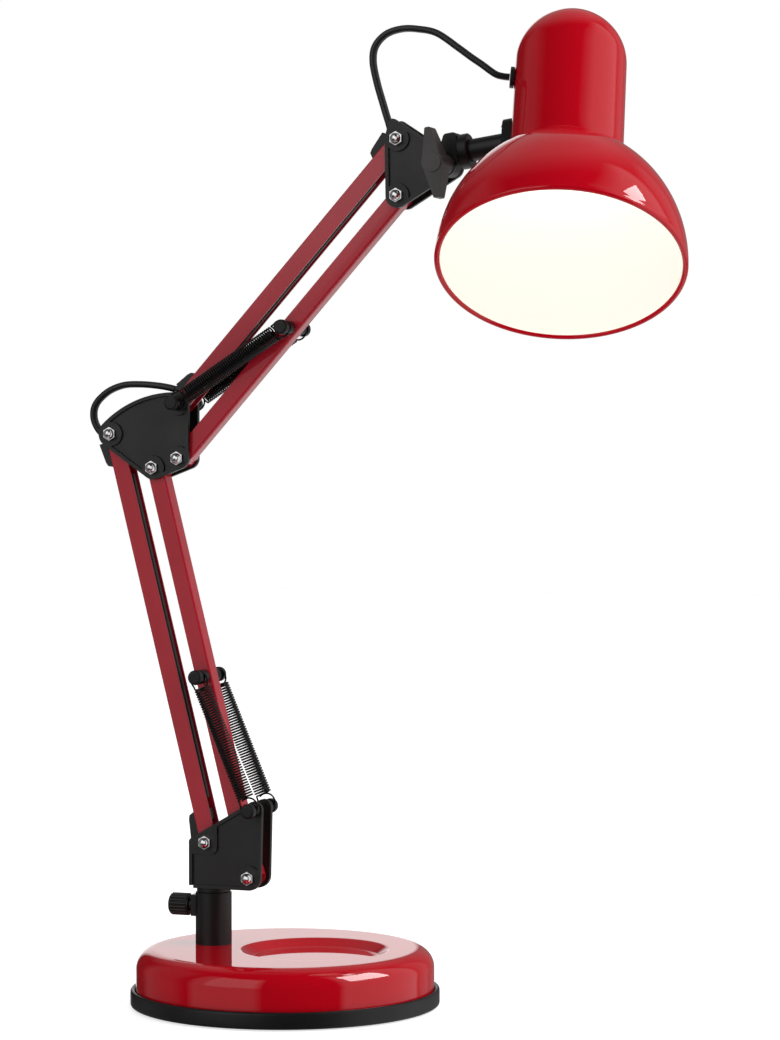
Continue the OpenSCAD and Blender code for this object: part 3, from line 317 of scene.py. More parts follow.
opalLook = dict(texture=paintFlow, sizes={"Ripples": 120.0, "Drift": 15.0}, colour=(0.95, 0.93, 0.88, 1),
    deep=(0.93, 0.9, 0.85, 1), dust=0.0, dustColour=(0.9, 0.9, 0.9, 1), rough=(0.3, 0.34), bump=0.02,
    depth=0.0002, shader={"Emission Color": (1.0, 0.95, 0.86, 1), "Emission Strength": 0.72})

glossRed = newMaterial("glossRed", glossRedLook)
satinRed = newMaterial("satinRed", satinRedLook)
shadeWhitePaintedLight = newMaterial("shadeWhitePaintedLight", shadeWhitePaintedLightLook)
blackPlastic = newMaterial("blackPlastic", blackPlasticLook)
blackGloss = newMaterial("blackGloss", blackGlossLook)
springSteel = newMaterial("springSteel", springSteelLook)
plateEdgePolishAndHighlight = newMaterial("plateEdgePolishAndHighlight", plateEdgePolishAndHighlightLook)
plateHollowShade = newMaterial("plateHollowShade", plateHollowShadeLook)
headPlastic = newMaterial("headPlastic", headPlasticLook)
cordRubber = newMaterial("cordRubber", rubberLook)
chrome = newMaterial("chrome", chromeLook)
zinc = newMaterial("zinc", zincLook)
castIron = newMaterial("castIron", castIronLook)
opalGlass = newMaterial("opalGlass", opalLook)
print("materials made")


# Mesh building: points nearer than a weld become one, and so do faces within flat degrees of each other
meshWork = dict(gridWeld=1e-7, gridThin=1e-8, solidWeld=1e-6, flat=0.5)


# A grid of points, rows by columns, becomes quads between neighbours
def gridFaces(rows, columns, wrapRows, wrapColumns):
    index = np.arange(rows * columns).reshape(rows, columns)
    if wrapRows:
        index = np.vstack([index, index[:1]])
    if wrapColumns:
        index = np.hstack([index, index[:, :1]])
    quads = np.stack([index[:-1, :-1], index[:-1, 1:], index[1:, 1:], index[1:, :-1]], axis=-1)
    return quads.reshape(-1, 4)


def finishPiece(name, bm, materials, body, nodes, sharp):
    mesh = bpy.data.meshes.new(name)
    bm.to_mesh(mesh)
    bm.free()
    for material in materials:
        mesh.materials.append(material)
    mesh.polygons.foreach_set("use_smooth", np.ones(len(mesh.polygons), bool))
    mesh.set_sharp_from_angle(angle=math.radians(sharp))
    piece = bpy.data.objects.new(name, mesh)
    bpy.context.scene.collection.objects.link(piece)
    if body:
        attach(piece, body)
    if nodes:
        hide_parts(*nodes)
    return piece


# One closed surface from a grid: poles and seams are merged, then the faces are turned outwards
def addSurface(name, points, materials, body=None, nodes=(), wrapRows=False, wrapColumns=True, caps=False,
        rowMaterial=None, sharp=40):
    rows, columns = points.shape[:2]
    faces = gridFaces(rows, columns, wrapRows, wrapColumns).tolist()
    if caps:
        faces.append(list(range(columns)))
        faces.append(list(range((rows - 1) * columns, rows * columns)))
    mesh = bpy.data.meshes.new(name + "Grid")
    mesh.from_pydata(points.reshape(-1, 3).tolist(), [], faces)
    if rowMaterial is not None:
        slots = np.zeros(len(mesh.polygons), np.int32)
        perRow = columns if wrapColumns else columns - 1
        slots[:len(rowMaterial) * perRow] = np.repeat(rowMaterial, perRow)
        mesh.polygons.foreach_set("material_index", slots)
    bm = bmesh.new()
    bm.from_mesh(mesh)
    bpy.data.meshes.remove(mesh)
    bmesh.ops.remove_doubles(bm, verts=bm.verts, dist=meshWork["gridWeld"])
    bmesh.ops.dissolve_degenerate(bm, edges=bm.edges, dist=meshWork["gridThin"])
    bmesh.ops.recalc_face_normals(bm, faces=bm.faces)
    return finishPiece(name, bm, materials, body, nodes, sharp)


# The long outer corners of a bar are folds of its sheet, and wider than its other edges. They start a little
# way in from the bar's ends, where two cuts square to the bar give the rounding a clean edge to stop at
foldShape = dict(steps=5, inset=6.5, shortest=60, narrowest=2, bend=57, clear=2.2, flat=6,
    radius=dict(lower_rear_bar=0.9, lower_front_bar=1.9, upper_top_bar=0.9, upper_bottom_bar=1.9))


def roundFolds(bm, node, shape):
    radius = shape["radius"][node] * mm
    first, last = (v.co.copy() for v in max(bm.edges, key=lambda e: e.calc_length()).verts)
    step = (last - first).normalized() * shape["inset"] * mm
    for place in (first + step, last - step):
        every = bm.verts[:] + bm.edges[:] + bm.faces[:]
        bmesh.ops.bisect_plane(bm, geom=every, plane_co=place, plane_no=step)
    folds = []
    for edge in bm.edges:
        bent = edge.calc_face_angle(0.0) > math.radians(shape["bend"]) and edge.is_convex
        if bent and edge.calc_length() > shape["shortest"] * mm:
            width = min(face.calc_area() for face in edge.link_faces) / edge.calc_length()
            if width > shape["narrowest"] * mm:
                folds.append(edge)
    # a point of a cut that lies inside a flat face and close to a fold is slid out of its way
    clear, flat = shape["clear"] * radius, math.radians(shape["flat"])
    for corner in (v for edge in folds for v in edge.verts):
        for other in (edge.other_vert(corner) for edge in corner.link_edges):
            gap = other.co - corner.co
            if gap.length < clear and all(e.calc_face_angle(0.0) < flat for e in other.link_edges):
                other.co = corner.co + gap.normalized() * clear
    bmesh.ops.bevel(bm, geom=folds, offset=radius, segments=shape["steps"], profile=0.5, affect="EDGES",
        clamp_overlap=False)
    print("%s: %d folds rounded" % (node, len(folds)))


# A copy of a solid with its triangles merged to flat faces and its sharp edges rounded over. Where a node has
# three materials, the second is for its outer edges, glossier and lighter as a painted highlight, and the third
# for its hollow corners, near black as painted shade
dressShape = dict(hollow=0.9, steps=3, sharp=32)


def dressNode(node, materials, soften, shape):
    bm = bmesh.new()
    bm.from_mesh(frame["nodes"][node].data)
    bmesh.ops.remove_doubles(bm, verts=bm.verts, dist=meshWork["solidWeld"])
    bmesh.ops.dissolve_limit(bm, angle_limit=math.radians(meshWork["flat"]), verts=bm.verts, edges=bm.edges)
    if node in foldShape["radius"]:
        roundFolds(bm, node, foldShape)
    limit = math.radians(shape["sharp"])
    passes = [(soften, 0, None)]
    if len(materials) == 3:
        # the rounding of hollow corners takes the painted shade, the rounding of outer edges the painted highlight
        passes = [(shape["hollow"], 2, False), (soften, 1, True)]
    for radius, slot, convex in passes:
        edges = [e for e in bm.edges if len(e.link_faces) == 2 and e.calc_face_angle(0.0) > limit
            and convex in (None, e.is_convex)]
        if radius > 0 and edges:
            bmesh.ops.bevel(bm, geom=edges, offset=radius * mm, segments=shape["steps"], profile=0.5,
                affect="EDGES", clamp_overlap=True, material=slot)
    bmesh.ops.triangulate(bm, faces=[f for f in bm.faces if len(f.verts) > 4])
    piece = finishPiece(node + "_dressed", bm, materials, bodyOf[node], [node], shape["sharp"])
    even = piece.modifiers.new("evenNormals", "WEIGHTED_NORMAL")
    even.keep_sharp = True


# A smooth line through points: each span is a cubic whose ends follow the neighbours
def smoothLine(points, perSpan):
    p = np.vstack([2 * points[0] - points[1], points, 2 * points[-1] - points[-2]])
    t = np.linspace(0, 1, perSpan, endpoint=False)[None, :, None]
    a, b, c, d = p[:-3, None], p[1:-2, None], p[2:-1, None], p[3:, None]
    line = 0.5 * (2 * b + (c - a) * t + (2 * a - 5 * b + 4 * c - d) * t**2 + (3 * b - a - 3 * c + d) * t**3)
    return np.vstack([line.reshape(-1, 3), points[-1:]])


# A section (side, up) carried along a line: side stays as near to the given side as the line lets it
def carry(line, side, section):
    ahead = np.gradient(line, axis=0)
    ahead /= np.linalg.norm(ahead, axis=1, keepdims=True)
    side = side - np.sum(side * ahead, axis=1, keepdims=True) * ahead
    side = side / np.linalg.norm(side, axis=1, keepdims=True)
    up = np.cross(ahead, side)
    return line[:, None] + side[:, None] * section[None, :, :1] + up[:, None] * section[None, :, 1:]


# Cords. The flat cord's section is an ellipse to a higher power, so that its broad sides are nearly flat
cordShape = dict(width=5.5, thick=4.2, flatness=2.6, sides=20, perSpan=8)


def cordSection(shape):
    t = np.linspace(0, 2 * np.pi, shape["sides"], endpoint=False)
    power = 2 / shape["flatness"]
    side = np.sign(np.cos(t)) * np.abs(np.cos(t))**power * shape["width"] / 2
    up = np.sign(np.sin(t)) * np.abs(np.sin(t))**power * shape["thick"] / 2
    return np.stack([side, up], axis=1) * mm


def addCordTube(name, line, body=None, nodes=()):
    grid = carry(line, acrossArm, cordSection(cordShape))
    return addSurface(name, grid, [cordRubber], body, nodes, caps=True, sharp=60)


# A bar's own axes: u runs along it from its first pivot, v stands square to it on the side of its back
def barAxes(start, end):
    along = (end - start) / np.linalg.norm(end - start)
    return along, np.array([-along[2], 0.0, along[0]])


def onBar(start, end, places, fromEnd=False):
    along, square = barAxes(start, end)
    places = np.array(places, float) * mm
    u = np.linalg.norm(end - start) - places[:, :1] if fromEnd else places[:, :1]
    return start + u * along + places[:, 1:] * square


guideWay = [(3, 7.2), (9, 5), (15, 2.6), (22, 0.2), (32, -2.3), (43, -3.1)]
elbowWay = [(3.7, 9.3), (7.2, 6.4), (11.7, 4.4), (17.4, 2.4), (25, -0.3), (34, -2.4), (45, -3.1)]
cordStep = 1.1  # the free cord starts this far outside a guide


def outsideGuide(way):
    first, second = np.array(way[0]), np.array(way[1])
    return first + cordStep * (first - second) / np.linalg.norm(first - second)


# Free stretches, as steps from the post's top or a pivot, each cut where it passes from one body to the next
leadRoute = [(-10, 0, 29), (-9.4, 0, 25.1), (-6.8, 0, 21.7), (-3.2, 0, 19.3), (-0.6, 0, 15.9), (0, 0, 10.5),
    (0, 0, 0.5), (0, 0, -9.5), (0, 0, -17.5)]
elbowRoute = [(-7.8, 0, -1.6), (-11.6, 0, 1.9), (-14.4, 0, 6.3), (-15.7, 0, 10.9), (-15.2, 0, 16.4),
    (-11.8, 0, 21.7), (-4.5, 0, 27.2), (5.3, 0, 30.5), (16.3, 0, 30.9), (26.8, 0, 30.1), (34.8, 0, 28.9)]
headRoute = [(-7.2, 0, 6), (-8.2, 0, 10), (-10, 0, 15.5), (-12, 0, 22), (-16, 0.3, 35), (-18.8, 0.8, 48),
    (-17.6, 1.5, 57.5), (-10.8, 2.2, 64.6), (-1, 2.9, 67.4), (9.2, 3.5, 66.9), (21.1, 4.2, 63.9),
    (34.9, 4.6, 54.3), (42, 5, 49), (49.2, 5.4, 44), (54.2, 5.8, 40.2), (58.1, 6.5, 37.7), (61.8, 7.7, 36.7),
    (65.2, 8.9, 36.3)]
leadCord = dict(node="lead_cord", cuts=[], bodies=[("lower_rear", "bracket")],
    turns=[((-56.5, 0, 104), (-54, 0, 88))])
elbowCord = dict(node="elbow_cord", cuts=[7], bodies=[("lower_rear", "elbow"), ("elbow", "upper_top")],
    turns=[((-124, 0, 353), (-124, 0, 374)), ((-112, 0, 381), (-82, 0, 381))])
headCord = dict(node="head_cord", cuts=[6, 12],
    bodies=[("upper_top", "head_bracket"), ("head_bracket", "knuckle"), ("knuckle", "lamp_head")],
    turns=[((64, 0, 543), (60, 0, 572)), ((62, 0, 590), (103, 0, 590)), ((110, 5, 583), (133, 6.5, 566))])


def addFreeCord(cord, route):
    per = cordShape["perSpan"]
    line = smoothLine(route, per)
    ends = [0] + [cut * per for cut in cord["cuts"]] + [len(line) - 1]
    for i, (pair, turn) in enumerate(zip(cord["bodies"], cord["turns"])):
        part = line[ends[i]:ends[i + 1] + 1]
        piece = addCordTube("%s_%d" % (cord["node"], i + 1), part)
        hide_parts(cord["node"])
        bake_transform(piece)


def addCords():
    lowStart = onBar(rearLow, rearTop, [outsideGuide(guideWay)])
    lowEnd = onBar(rearLow, rearTop, [outsideGuide(guideWay)], fromEnd=True)
    highStart = onBar(topLow, topEnd, [outsideGuide(elbowWay)])
    highEnd = onBar(topLow, topEnd, [outsideGuide(guideWay)], fromEnd=True)
    postTop = jointAt["base_swivel"]
    addFreeCord(leadCord, np.vstack([lowStart, postTop + np.array(leadRoute) * mm]))
    addFreeCord(elbowCord, np.vstack([lowEnd, rearTop + np.array(elbowRoute) * mm, highStart]))
    addFreeCord(headCord, np.vstack([highEnd, topEnd + np.array(headRoute) * mm]))
    held = dict(lower_cord=(rearLow, rearTop, guideWay), upper_cord=(topLow, topEnd, elbowWay))
    for node, (start, end, way) in held.items():
        route = np.vstack([onBar(start, end, way), onBar(start, end, guideWay[::-1], fromEnd=True)])
        addCordTube(node + "_tube", smoothLine(route, cordShape["perSpan"]), bodyOf[node], [node])


addCords()
print("cords laid")

# Springs: a hook, close coils and a hook, in one wire. A coil's point at turn t is (lead + pitch t, R cos t,
# R sin t), and a hook's loop sweeps round its pin from one angle to the other, in degrees
springShape = dict(coils=dict(lower=45, upper=47), coilRadius=4.8, wire=1.15, sides=8, perCoil=18,
    across=14.6, postHook=dict(loop=5.6, lead=8.3), pinHook=dict(loop=5.4, lead=6.6), sweep=(30, -292),
    loopSteps=28, grooveRadius=2.3, seat=0.15, perStep=2)


# A hook round a pin at the origin, up to the start of the coils
def hookLine(shape, hook):
    shift = hook["loop"] - shape["wire"] / 2 - shape["grooveRadius"] - shape["seat"]
    t = np.radians(np.linspace(*shape["sweep"], shape["loopSteps"]))
    loop = np.stack([shift + hook["loop"] * np.cos(t), hook["loop"] * np.sin(t), np.zeros_like(t)], axis=1)
    return np.vstack([loop, [((loop[-1, 0] + hook["lead"]) / 2, (loop[-1, 1] + shape["coilRadius"]) / 2, 0)]])


def springLine(shape, coils, length):
    first, last = shape["postHook"], shape["pinHook"]
    turn = np.linspace(0, coils, coils * shape["perCoil"] + 1)
    pitch = (length - first["lead"] - last["lead"]) / coils
    angle = 2 * np.pi * turn
    coil = np.stack([first["lead"] + pitch * turn, shape["coilRadius"] * np.cos(angle),
        shape["coilRadius"] * np.sin(angle)], axis=1)
    finish = hookLine(shape, last)[::-1] * (-1, 1, 1) + (length, 0, 0)
    return np.vstack([hookLine(shape, first), coil, finish])


def addSpring(arm, sideName, start, end):
    shape = springShape
    node = "%s_spring_%s" % (arm, sideName)
    side = -1 if sideName == "near" else 1
    along, square = barAxes(start, end)
    line = springLine(shape, shape["coils"][arm], float(np.linalg.norm(end - start)) / mm)
    line = smoothLine(line, shape["perStep"])
    t = np.linspace(0, 2 * np.pi, shape["sides"], endpoint=False)
    section = np.stack([np.cos(t), np.sin(t)], axis=1) * shape["wire"] / 2
    outward = line * (0, 1, 1) + (0, 1e-6, 0)  # never quite zero, also on the axis
    grid = carry(line, outward, section) * mm
    middle = start * (1, 0, 1) + side * shape["across"] * mm * acrossArm
    grid = middle + grid[..., :1] * along + grid[..., 1:2] * square + side * grid[..., 2:] * acrossArm
    piece = addSurface(node + "_wire", grid, [springSteel], caps=True, sharp=60)
    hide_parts(node)
    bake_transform(piece)


lowerPost = nodeMiddle("bracket_spring_posts")
lowerPin = nodeMiddle("lower_spring_pin")
upperPin = nodeMiddle("upper_spring_pin")
for sideName in ("near", "far"):
    addSpring("lower", sideName, lowerPost, lowerPin)
    addSpring("upper", sideName, topLow, upperPin)
print("springs wound")


# Arc of a profile (r, z) round a middle, from one angle to another in degrees
def arc(middle, radius, first, last, steps):
    t = np.radians(np.linspace(first, last, steps))
    return np.stack([middle[0] + radius * np.cos(t), middle[1] + radius * np.sin(t)], axis=1)


# Shade: a profile (r, z) turned about the shade's axis, out over dome, neck and bell, round the lip and back
# inside. Angles are in degrees, and the last rows of the lip are white with the inside
shadeShape = dict(stemReach=76.2, turn=32.5, neck=33.5, neckRise=52.9, mouth=73.4, drop=97.0, bell=89.0,
    bellEnd=1.2, sheet=1.0, lip=1.7, lipSweep=(20, -205), lipWhite=4, crease=2.6, around=192,
    steps=dict(dome=26, wall=12, crease=8, bell=44, lip=22))


def shadeProfile(shape, inset, crease):
    neck, bell = shape["neck"] - inset, shape["bell"] - inset
    bellMid = shape["mouth"] - shape["bell"]
    steps = shape["steps"]
    dome = arc((0, shape["neckRise"]), neck, 90, 0, steps["dome"])
    # a small hollow arc of the crease's radius touches the neck and the bell from outside
    creaseR = neck + crease
    creaseZ = -shape["drop"] + math.sqrt((bell + crease)**2 - (creaseR - bellMid)**2)
    lean = math.degrees(math.atan2(creaseZ + shape["drop"], creaseR - bellMid))
    hollow = arc((creaseR, creaseZ), crease, 180, 180 + lean, steps["crease"])
    body = arc((bellMid, -shape["drop"]), bell, lean, shape["bellEnd"], steps["bell"])
    fall = np.linspace(shape["neckRise"], creaseZ, steps["wall"] + 2)[1:-1]
    wall = np.stack([np.full_like(fall, neck), fall], axis=1)
    return np.vstack([dome, wall, hollow, body])


def addShade(shape):
    outside = shadeProfile(shape, 0, shape["crease"])
    inside = shadeProfile(shape, shape["sheet"], shape["crease"] + shape["sheet"])
    lip = arc((shape["mouth"] - shape["lip"], -shape["drop"]), shape["lip"], *shape["lipSweep"],
        shape["steps"]["lip"])
    profile = np.vstack([outside, lip, inside[::-1]]) * mm
    redRows = len(outside) + len(lip) - shape["lipWhite"]
    slots = np.where(np.arange(len(profile) - 1) < redRows, 0, 1)
    up = np.array([0, 0, 1.0]) - stemWay[2] * stemWay
    up /= np.linalg.norm(up)
    turn = math.radians(shape["turn"])
    axis = math.cos(turn) * up + math.sin(turn) * acrossArm
    first = stemWay
    second = np.cross(axis, first)
    middle = stemAt + shape["stemReach"] * mm * stemWay
    t = np.linspace(0, 2 * np.pi, shape["around"], endpoint=False)
    ring = np.cos(t)[:, None] * first + np.sin(t)[:, None] * second
    grid = middle + profile[:, None, :1] * ring[None] + profile[:, None, 1:] * axis
    addSurface("shade_shell", grid, [glossRed, shadeWhitePaintedLight], "lamp_head", ["shade"], rowMaterial=slots,
        sharp=70)
    return middle, axis


shadeMiddle, shadeAxis = addShade(shadeShape)

# Painted light inside the shade: its white paint glows dim cream at the lip and bright towards the bulb
innerPaintedLight = dict(start=-0.1, stop=-0.03, dim=(0.77, 0.75, 0.65, 1), bright=(1.04, 1.03, 1.0, 1))


def addInnerPaintedLight(material, glow):
    tree, given, out = newGroup("innerPaintedLight", {"Start": glow["start"], "Stop": glow["stop"]}, ("Share",))
    middle = float(shadeMiddle @ shadeAxis)
    along = addMath(tree, "SUBTRACT", addDot(tree, objectPlace(tree), tuple(shadeAxis)), middle)
    tree.links.new(addRange(tree, along, given.outputs["Start"], given.outputs["Stop"]), out.inputs["Share"])
    light = material.node_tree
    share = light.nodes.new("ShaderNodeGroup")
    share.node_tree = tree
    tint = light.nodes.new("ShaderNodeMix")
    tint.data_type = "RGBA"
    light.links.new(share.outputs["Share"], tint.inputs["Factor"])
    tint.inputs["A"].default_value = glow["dim"]
    tint.inputs["B"].default_value = glow["bright"]
    light.links.new(tint.outputs["Result"], light.nodes["Principled BSDF"].inputs["Emission Color"])


addInnerPaintedLight(shadeWhitePaintedLight, innerPaintedLight)
print("shade spun")

# Base cover: rings (middle x, r, z) from the dish's floor over its rim to the edge, down the wall and back
# inside. The rings' middle moves from the dish's to the base's on the flat between them
coverShape = dict(height=35.3, radius=91.7, edge=12.0, sheet=1.2, foot=4.2, dishX=19.5, dishR=45.4,
    dishDepth=4.8, dishSlope=6.9, fillet=3.2, around=256,
    steps=dict(floor=8, fillet=9, flat=15, edge=17, wall=8))


# A polyline's corner is replaced by an arc that touches both of its sides
def roundCorner(before, corner, after, radius, steps):
    a = (before - corner) / np.linalg.norm(before - corner)
    b = (after - corner) / np.linalg.norm(after - corner)
    half = math.acos(float(np.clip(a @ b, -1, 1))) / 2
    reach = radius / math.tan(half)
    middle = corner + (a + b) / np.linalg.norm(a + b) * radius / math.sin(half)
    p, q = corner + a * reach - middle, corner + b * reach - middle
    t = np.linspace(0, 1, steps)[:, None]
    sweep = math.pi - 2 * half
    return middle + (np.sin((1 - t) * sweep) * p + np.sin(t * sweep) * q) / math.sin(sweep)


def addBaseCover(shape):
    top, steps = shape["height"], shape["steps"]
    low = top - shape["dishDepth"]
    rim = shape["radius"] - shape["edge"]
    a = np.array([0.0, low])
    b = np.array([shape["dishR"] - shape["dishSlope"], low])
    c = np.array([shape["dishR"], top])
    d = np.array([rim, top])
    dish = np.vstack([np.linspace(a, b, steps["floor"] + 2)[:-2],
        roundCorner(a, b, c, shape["fillet"], steps["fillet"]),
        roundCorner(b, c, d, shape["fillet"], steps["fillet"])])
    last = dish[-1, 0]
    share = np.linspace(0, 1, steps["flat"] + 1)[1:]
    flat = np.stack([last + (rim - last) * share, np.full_like(share, top)], axis=1)
    edge = arc((rim, top - shape["edge"]), shape["edge"], 90, 0, steps["edge"] + 1)[1:]
    fall = np.linspace(top - shape["edge"], shape["foot"], steps["wall"] + 1)[1:]
    wall = np.stack([np.full_like(fall, shape["radius"]), fall], axis=1)
    outer = np.vstack([dish, flat, edge, wall])
    middleX = np.concatenate([np.full(len(dish), shape["dishX"]), shape["dishX"] * (1 - share),
        np.zeros(len(edge) + len(wall))])
    ahead = np.gradient(outer, axis=0)
    ahead /= np.linalg.norm(ahead, axis=1, keepdims=True)
    inner = outer - shape["sheet"] * np.stack([-ahead[:, 1], ahead[:, 0]], axis=1)
    inner[:, 0] = np.maximum(inner[:, 0], 0)
    inner[0, 0] = 0
    inner[-1, 1] = shape["foot"]
    rings = np.vstack([outer, inner[::-1]])
    middleX = np.concatenate([middleX, middleX[::-1]])
    t = np.linspace(0, 2 * np.pi, shape["around"], endpoint=False)
    x = middleX[:, None] + rings[:, :1] * np.cos(t)
    y = rings[:, :1] * np.sin(t)
    z = np.repeat(rings[:, 1:], len(t), axis=1)
    grid = np.stack([x, y, z], axis=-1) * mm
    addSurface("base_cover_shell", grid, [glossRed], "base", ["base_cover"], sharp=50)


addBaseCover(coverShape)

# Base tray: a shallow ring with a soft rim, turned about the base's axis
trayShape = dict(radius=95.0, height=11.0, low=0.8, wall=3.2, floor=4.0, pad=82.3, padTop=1.6, around=224,
    softness=(0.3, 0.3, 1.5, 1.55, 1.55, 0.6), steps=7)


def addBaseTray(shape):
    r, h, low = shape["radius"], shape["height"], shape["low"]
    points = np.array([(0, shape["padTop"]), (shape["pad"], shape["padTop"]), (shape["pad"], low), (r, low),
        (r, h), (r - shape["wall"], h), (r - shape["wall"], shape["floor"]), (0, shape["floor"])], float)
    corners = [roundCorner(*points[i:i + 3], soft, shape["steps"])
        for i, soft in enumerate(shape["softness"])]
    profile = np.vstack([points[:1], *corners, points[-1:]]) * mm
    t = np.linspace(0, 2 * np.pi, shape["around"], endpoint=False)
    x = profile[:, :1] * np.cos(t)
    y = profile[:, :1] * np.sin(t)
    z = np.repeat(profile[:, 1:], len(t), axis=1)
    grid = np.stack([x, y, z], axis=-1)
    addSurface("base_tray_ring", grid, [blackGloss], "base", ["base_tray"], sharp=50)


addBaseTray(trayShape)
print("base made")

# Solids that keep their shape: (finish, radius of the rounded edges in mm)
# The plates take their plain black, a painted highlight on their rims and painted shade in their hollows
plateSet = (blackPlastic, plateEdgePolishAndHighlight, plateHollowShade)
dressed = dict(
    post=(blackGloss, 0.5), swivel_spigot=(blackGloss, 0.4), thumb_knob=(blackPlastic, 0.25),
    thumb_screw=(zinc, 0.2), foot_pad=(cordRubber, 0.4), lead_grommet=(cordRubber, 0.5),
    lower_bracket_near=(plateSet, 0.55), lower_bracket_far=(plateSet, 0.55),
    elbow_plate_near=(plateSet, 0.55), elbow_plate_far=(plateSet, 0.55),
    head_plate_near=(plateSet, 0.55), head_plate_far=(plateSet, 0.55),
    lower_pivot_nuts=(chrome, 0.15), elbow_pivot_nuts=(chrome, 0.15), head_pivot_nuts=(chrome, 0.15),
    tilt_nut=(chrome, 0.2), lower_pivot_bolts=(zinc, 0.2), elbow_pivot_bolts=(zinc, 0.2),
    head_pivot_bolts=(zinc, 0.2), foot_screws=(chrome, 0.2),
    bracket_spring_posts=(blackGloss, 0.25), lower_spring_pin=(blackGloss, 0.25),
    upper_spring_pin=(blackGloss, 0.25), elbow_spring_pin=(blackGloss, 0.25),
    lower_rear_bar=(satinRed, 0.4), lower_front_bar=(satinRed, 0.4),
    upper_top_bar=(satinRed, 0.4), upper_bottom_bar=(satinRed, 0.4),
    lower_cord_guides=(blackPlastic, 0.35), upper_cord_guides=(blackPlastic, 0.35),
    wing_nut=(headPlastic, 0.35), knuckle=(blackGloss, 0.5), stem=(blackGloss, 0.4),
    neck_grommet=(cordRubber, 0.5), lampholder=(blackPlastic, 0.6), bulb_glass=(opalGlass, 0.0),
    bulb_cap=(zinc, 0.3), holder_bracket=(zinc, 0.2))
for node, (finish, soften) in dressed.items():
    dressNode(node, finish if isinstance(finish, tuple) else (finish,), soften, dressShape)

# Solids that are hidden inside keep their own mesh and take a finish
hidden = dict(ballast=castIron, post_washer=zinc, post_nut=zinc, tray_screws=zinc, lower_pivot_sleeves=zinc,
    elbow_pivot_sleeves=zinc, head_pivot_sleeves=zinc, tilt_bolt=zinc, collar_screw=zinc, stem_pin=zinc)
for node, material in hidden.items():
    frame["nodes"][node].data.materials.clear()
    frame["nodes"][node].data.materials.append(material)
print("solids dressed")

# Studio. The compass turns about the lamp: 0 is towards the camera, 90 to its right, 180 behind the lamp
floorShape = dict(half=6.0, colour=(0.86, 0.86, 0.86, 1), rough=0.7, lift=0.8)
softBoxes = dict(
    right=dict(place=(1.6, 0.2, 1.2), size=(0.9, 1.2), power=12.5),
    front=dict(place=(1.2, -1.8, 1.1), size=(1.2, 1.2), power=6.0),
    above=dict(place=(0.1, 0.2, 2.4), size=(2.0, 1.6), power=13.0))
# Lights that only gloss meets, each on its own pieces: the bell, the edge of the base, and the bright nuts
glints = dict(
    bell=dict(place=(0.452, 0.027, 0.697), size=(0.11, 0.065), power=0.22,
        on=["shade_shell", "base_cover_shell"]),
    base=dict(place=(0.438, -0.015, 0.365), size=(0.3, 0.3), power=3.6, on=["base_cover_shell"]),
    nuts=dict(place=(0.46, -1.11, 0.42), size=(1.0, 1.3), power=4.0, on=["lower_pivot_nuts_dressed",
        "elbow_pivot_nuts_dressed", "head_pivot_nuts_dressed", "tilt_nut_dressed", "foot_screws_dressed"]))
lightAim = (0.03, 0.0, 0.3)
surround = dict(colour=(1.0, 1.0, 1.0, 1), seen=1.0, dim=0.03)
panels = dict(
    rightPanel=dict(compass=(46, 124), height=(-70, 60), soft=(3, 8), glow=0.85),
    rightWall=dict(compass=(124, 148), height=(-70, 42), soft=(6, 8), glow=0.34),
    farRight=dict(compass=(146, 178), height=(-70, 42), soft=(4, 8), glow=0.2),
    leftPanel=dict(compass=(-76, -19), height=(-14, 50), soft=(4, 3), glow=0.5),
    leftHigh=dict(compass=(-64, -19), height=(2.5, 50), soft=(4, 2), glow=1.2),
    leftWall=dict(compass=(-134, -86), height=(-70, 50), soft=(8, 8), glow=0.2),
    backRight=dict(compass=(177, 200), height=(-70, 22), soft=(2, 5), glow=1.25),
    backLeft=dict(compass=(-200, -164), height=(-70, 26), soft=(3, 5), glow=1.25),
    tableFront=dict(compass=(-200, 200), height=(-100, -52), soft=(6, 6), glow=0.3),
    tableRight=dict(compass=(140, 200), height=(-100, -15), soft=(5, 2), glow=0.75),
    tableLeft=dict(compass=(-200, -140), height=(-100, -15), soft=(5, 2), glow=0.75))
ceiling = dict(back=35, spread=30, soft=11, glow=0.34)


# The floor is lifted towards white where the camera sees it, and gloss looks past it to the surround
def addFloor(shape):
    half = shape["half"]
    mesh = bpy.data.meshes.new("floor")
    corners = [(-half, -half, 0), (half, -half, 0), (half, half, 0), (-half, half, 0)]
    mesh.from_pydata(corners, [], [(0, 1, 2, 3)])
    floor = bpy.data.objects.new("floor", mesh)
    bpy.context.scene.collection.objects.link(floor)
    floor.visible_glossy = False
    material = bpy.data.materials.new("paleFloor")
    material.use_nodes = True
    tree = material.node_tree
    shader = tree.nodes["Principled BSDF"]
    shader.inputs["Base Color"].default_value = shape["colour"]
    shader.inputs["Roughness"].default_value = shape["rough"]
    shader.inputs["Emission Color"].default_value = shape["colour"]
    path = tree.nodes.new("ShaderNodeLightPath")
    tree.links.new(addMath(tree, "MULTIPLY", path.outputs["Is Camera Ray"], shape["lift"]),
        shader.inputs["Emission Strength"])
    mesh.materials.append(material)


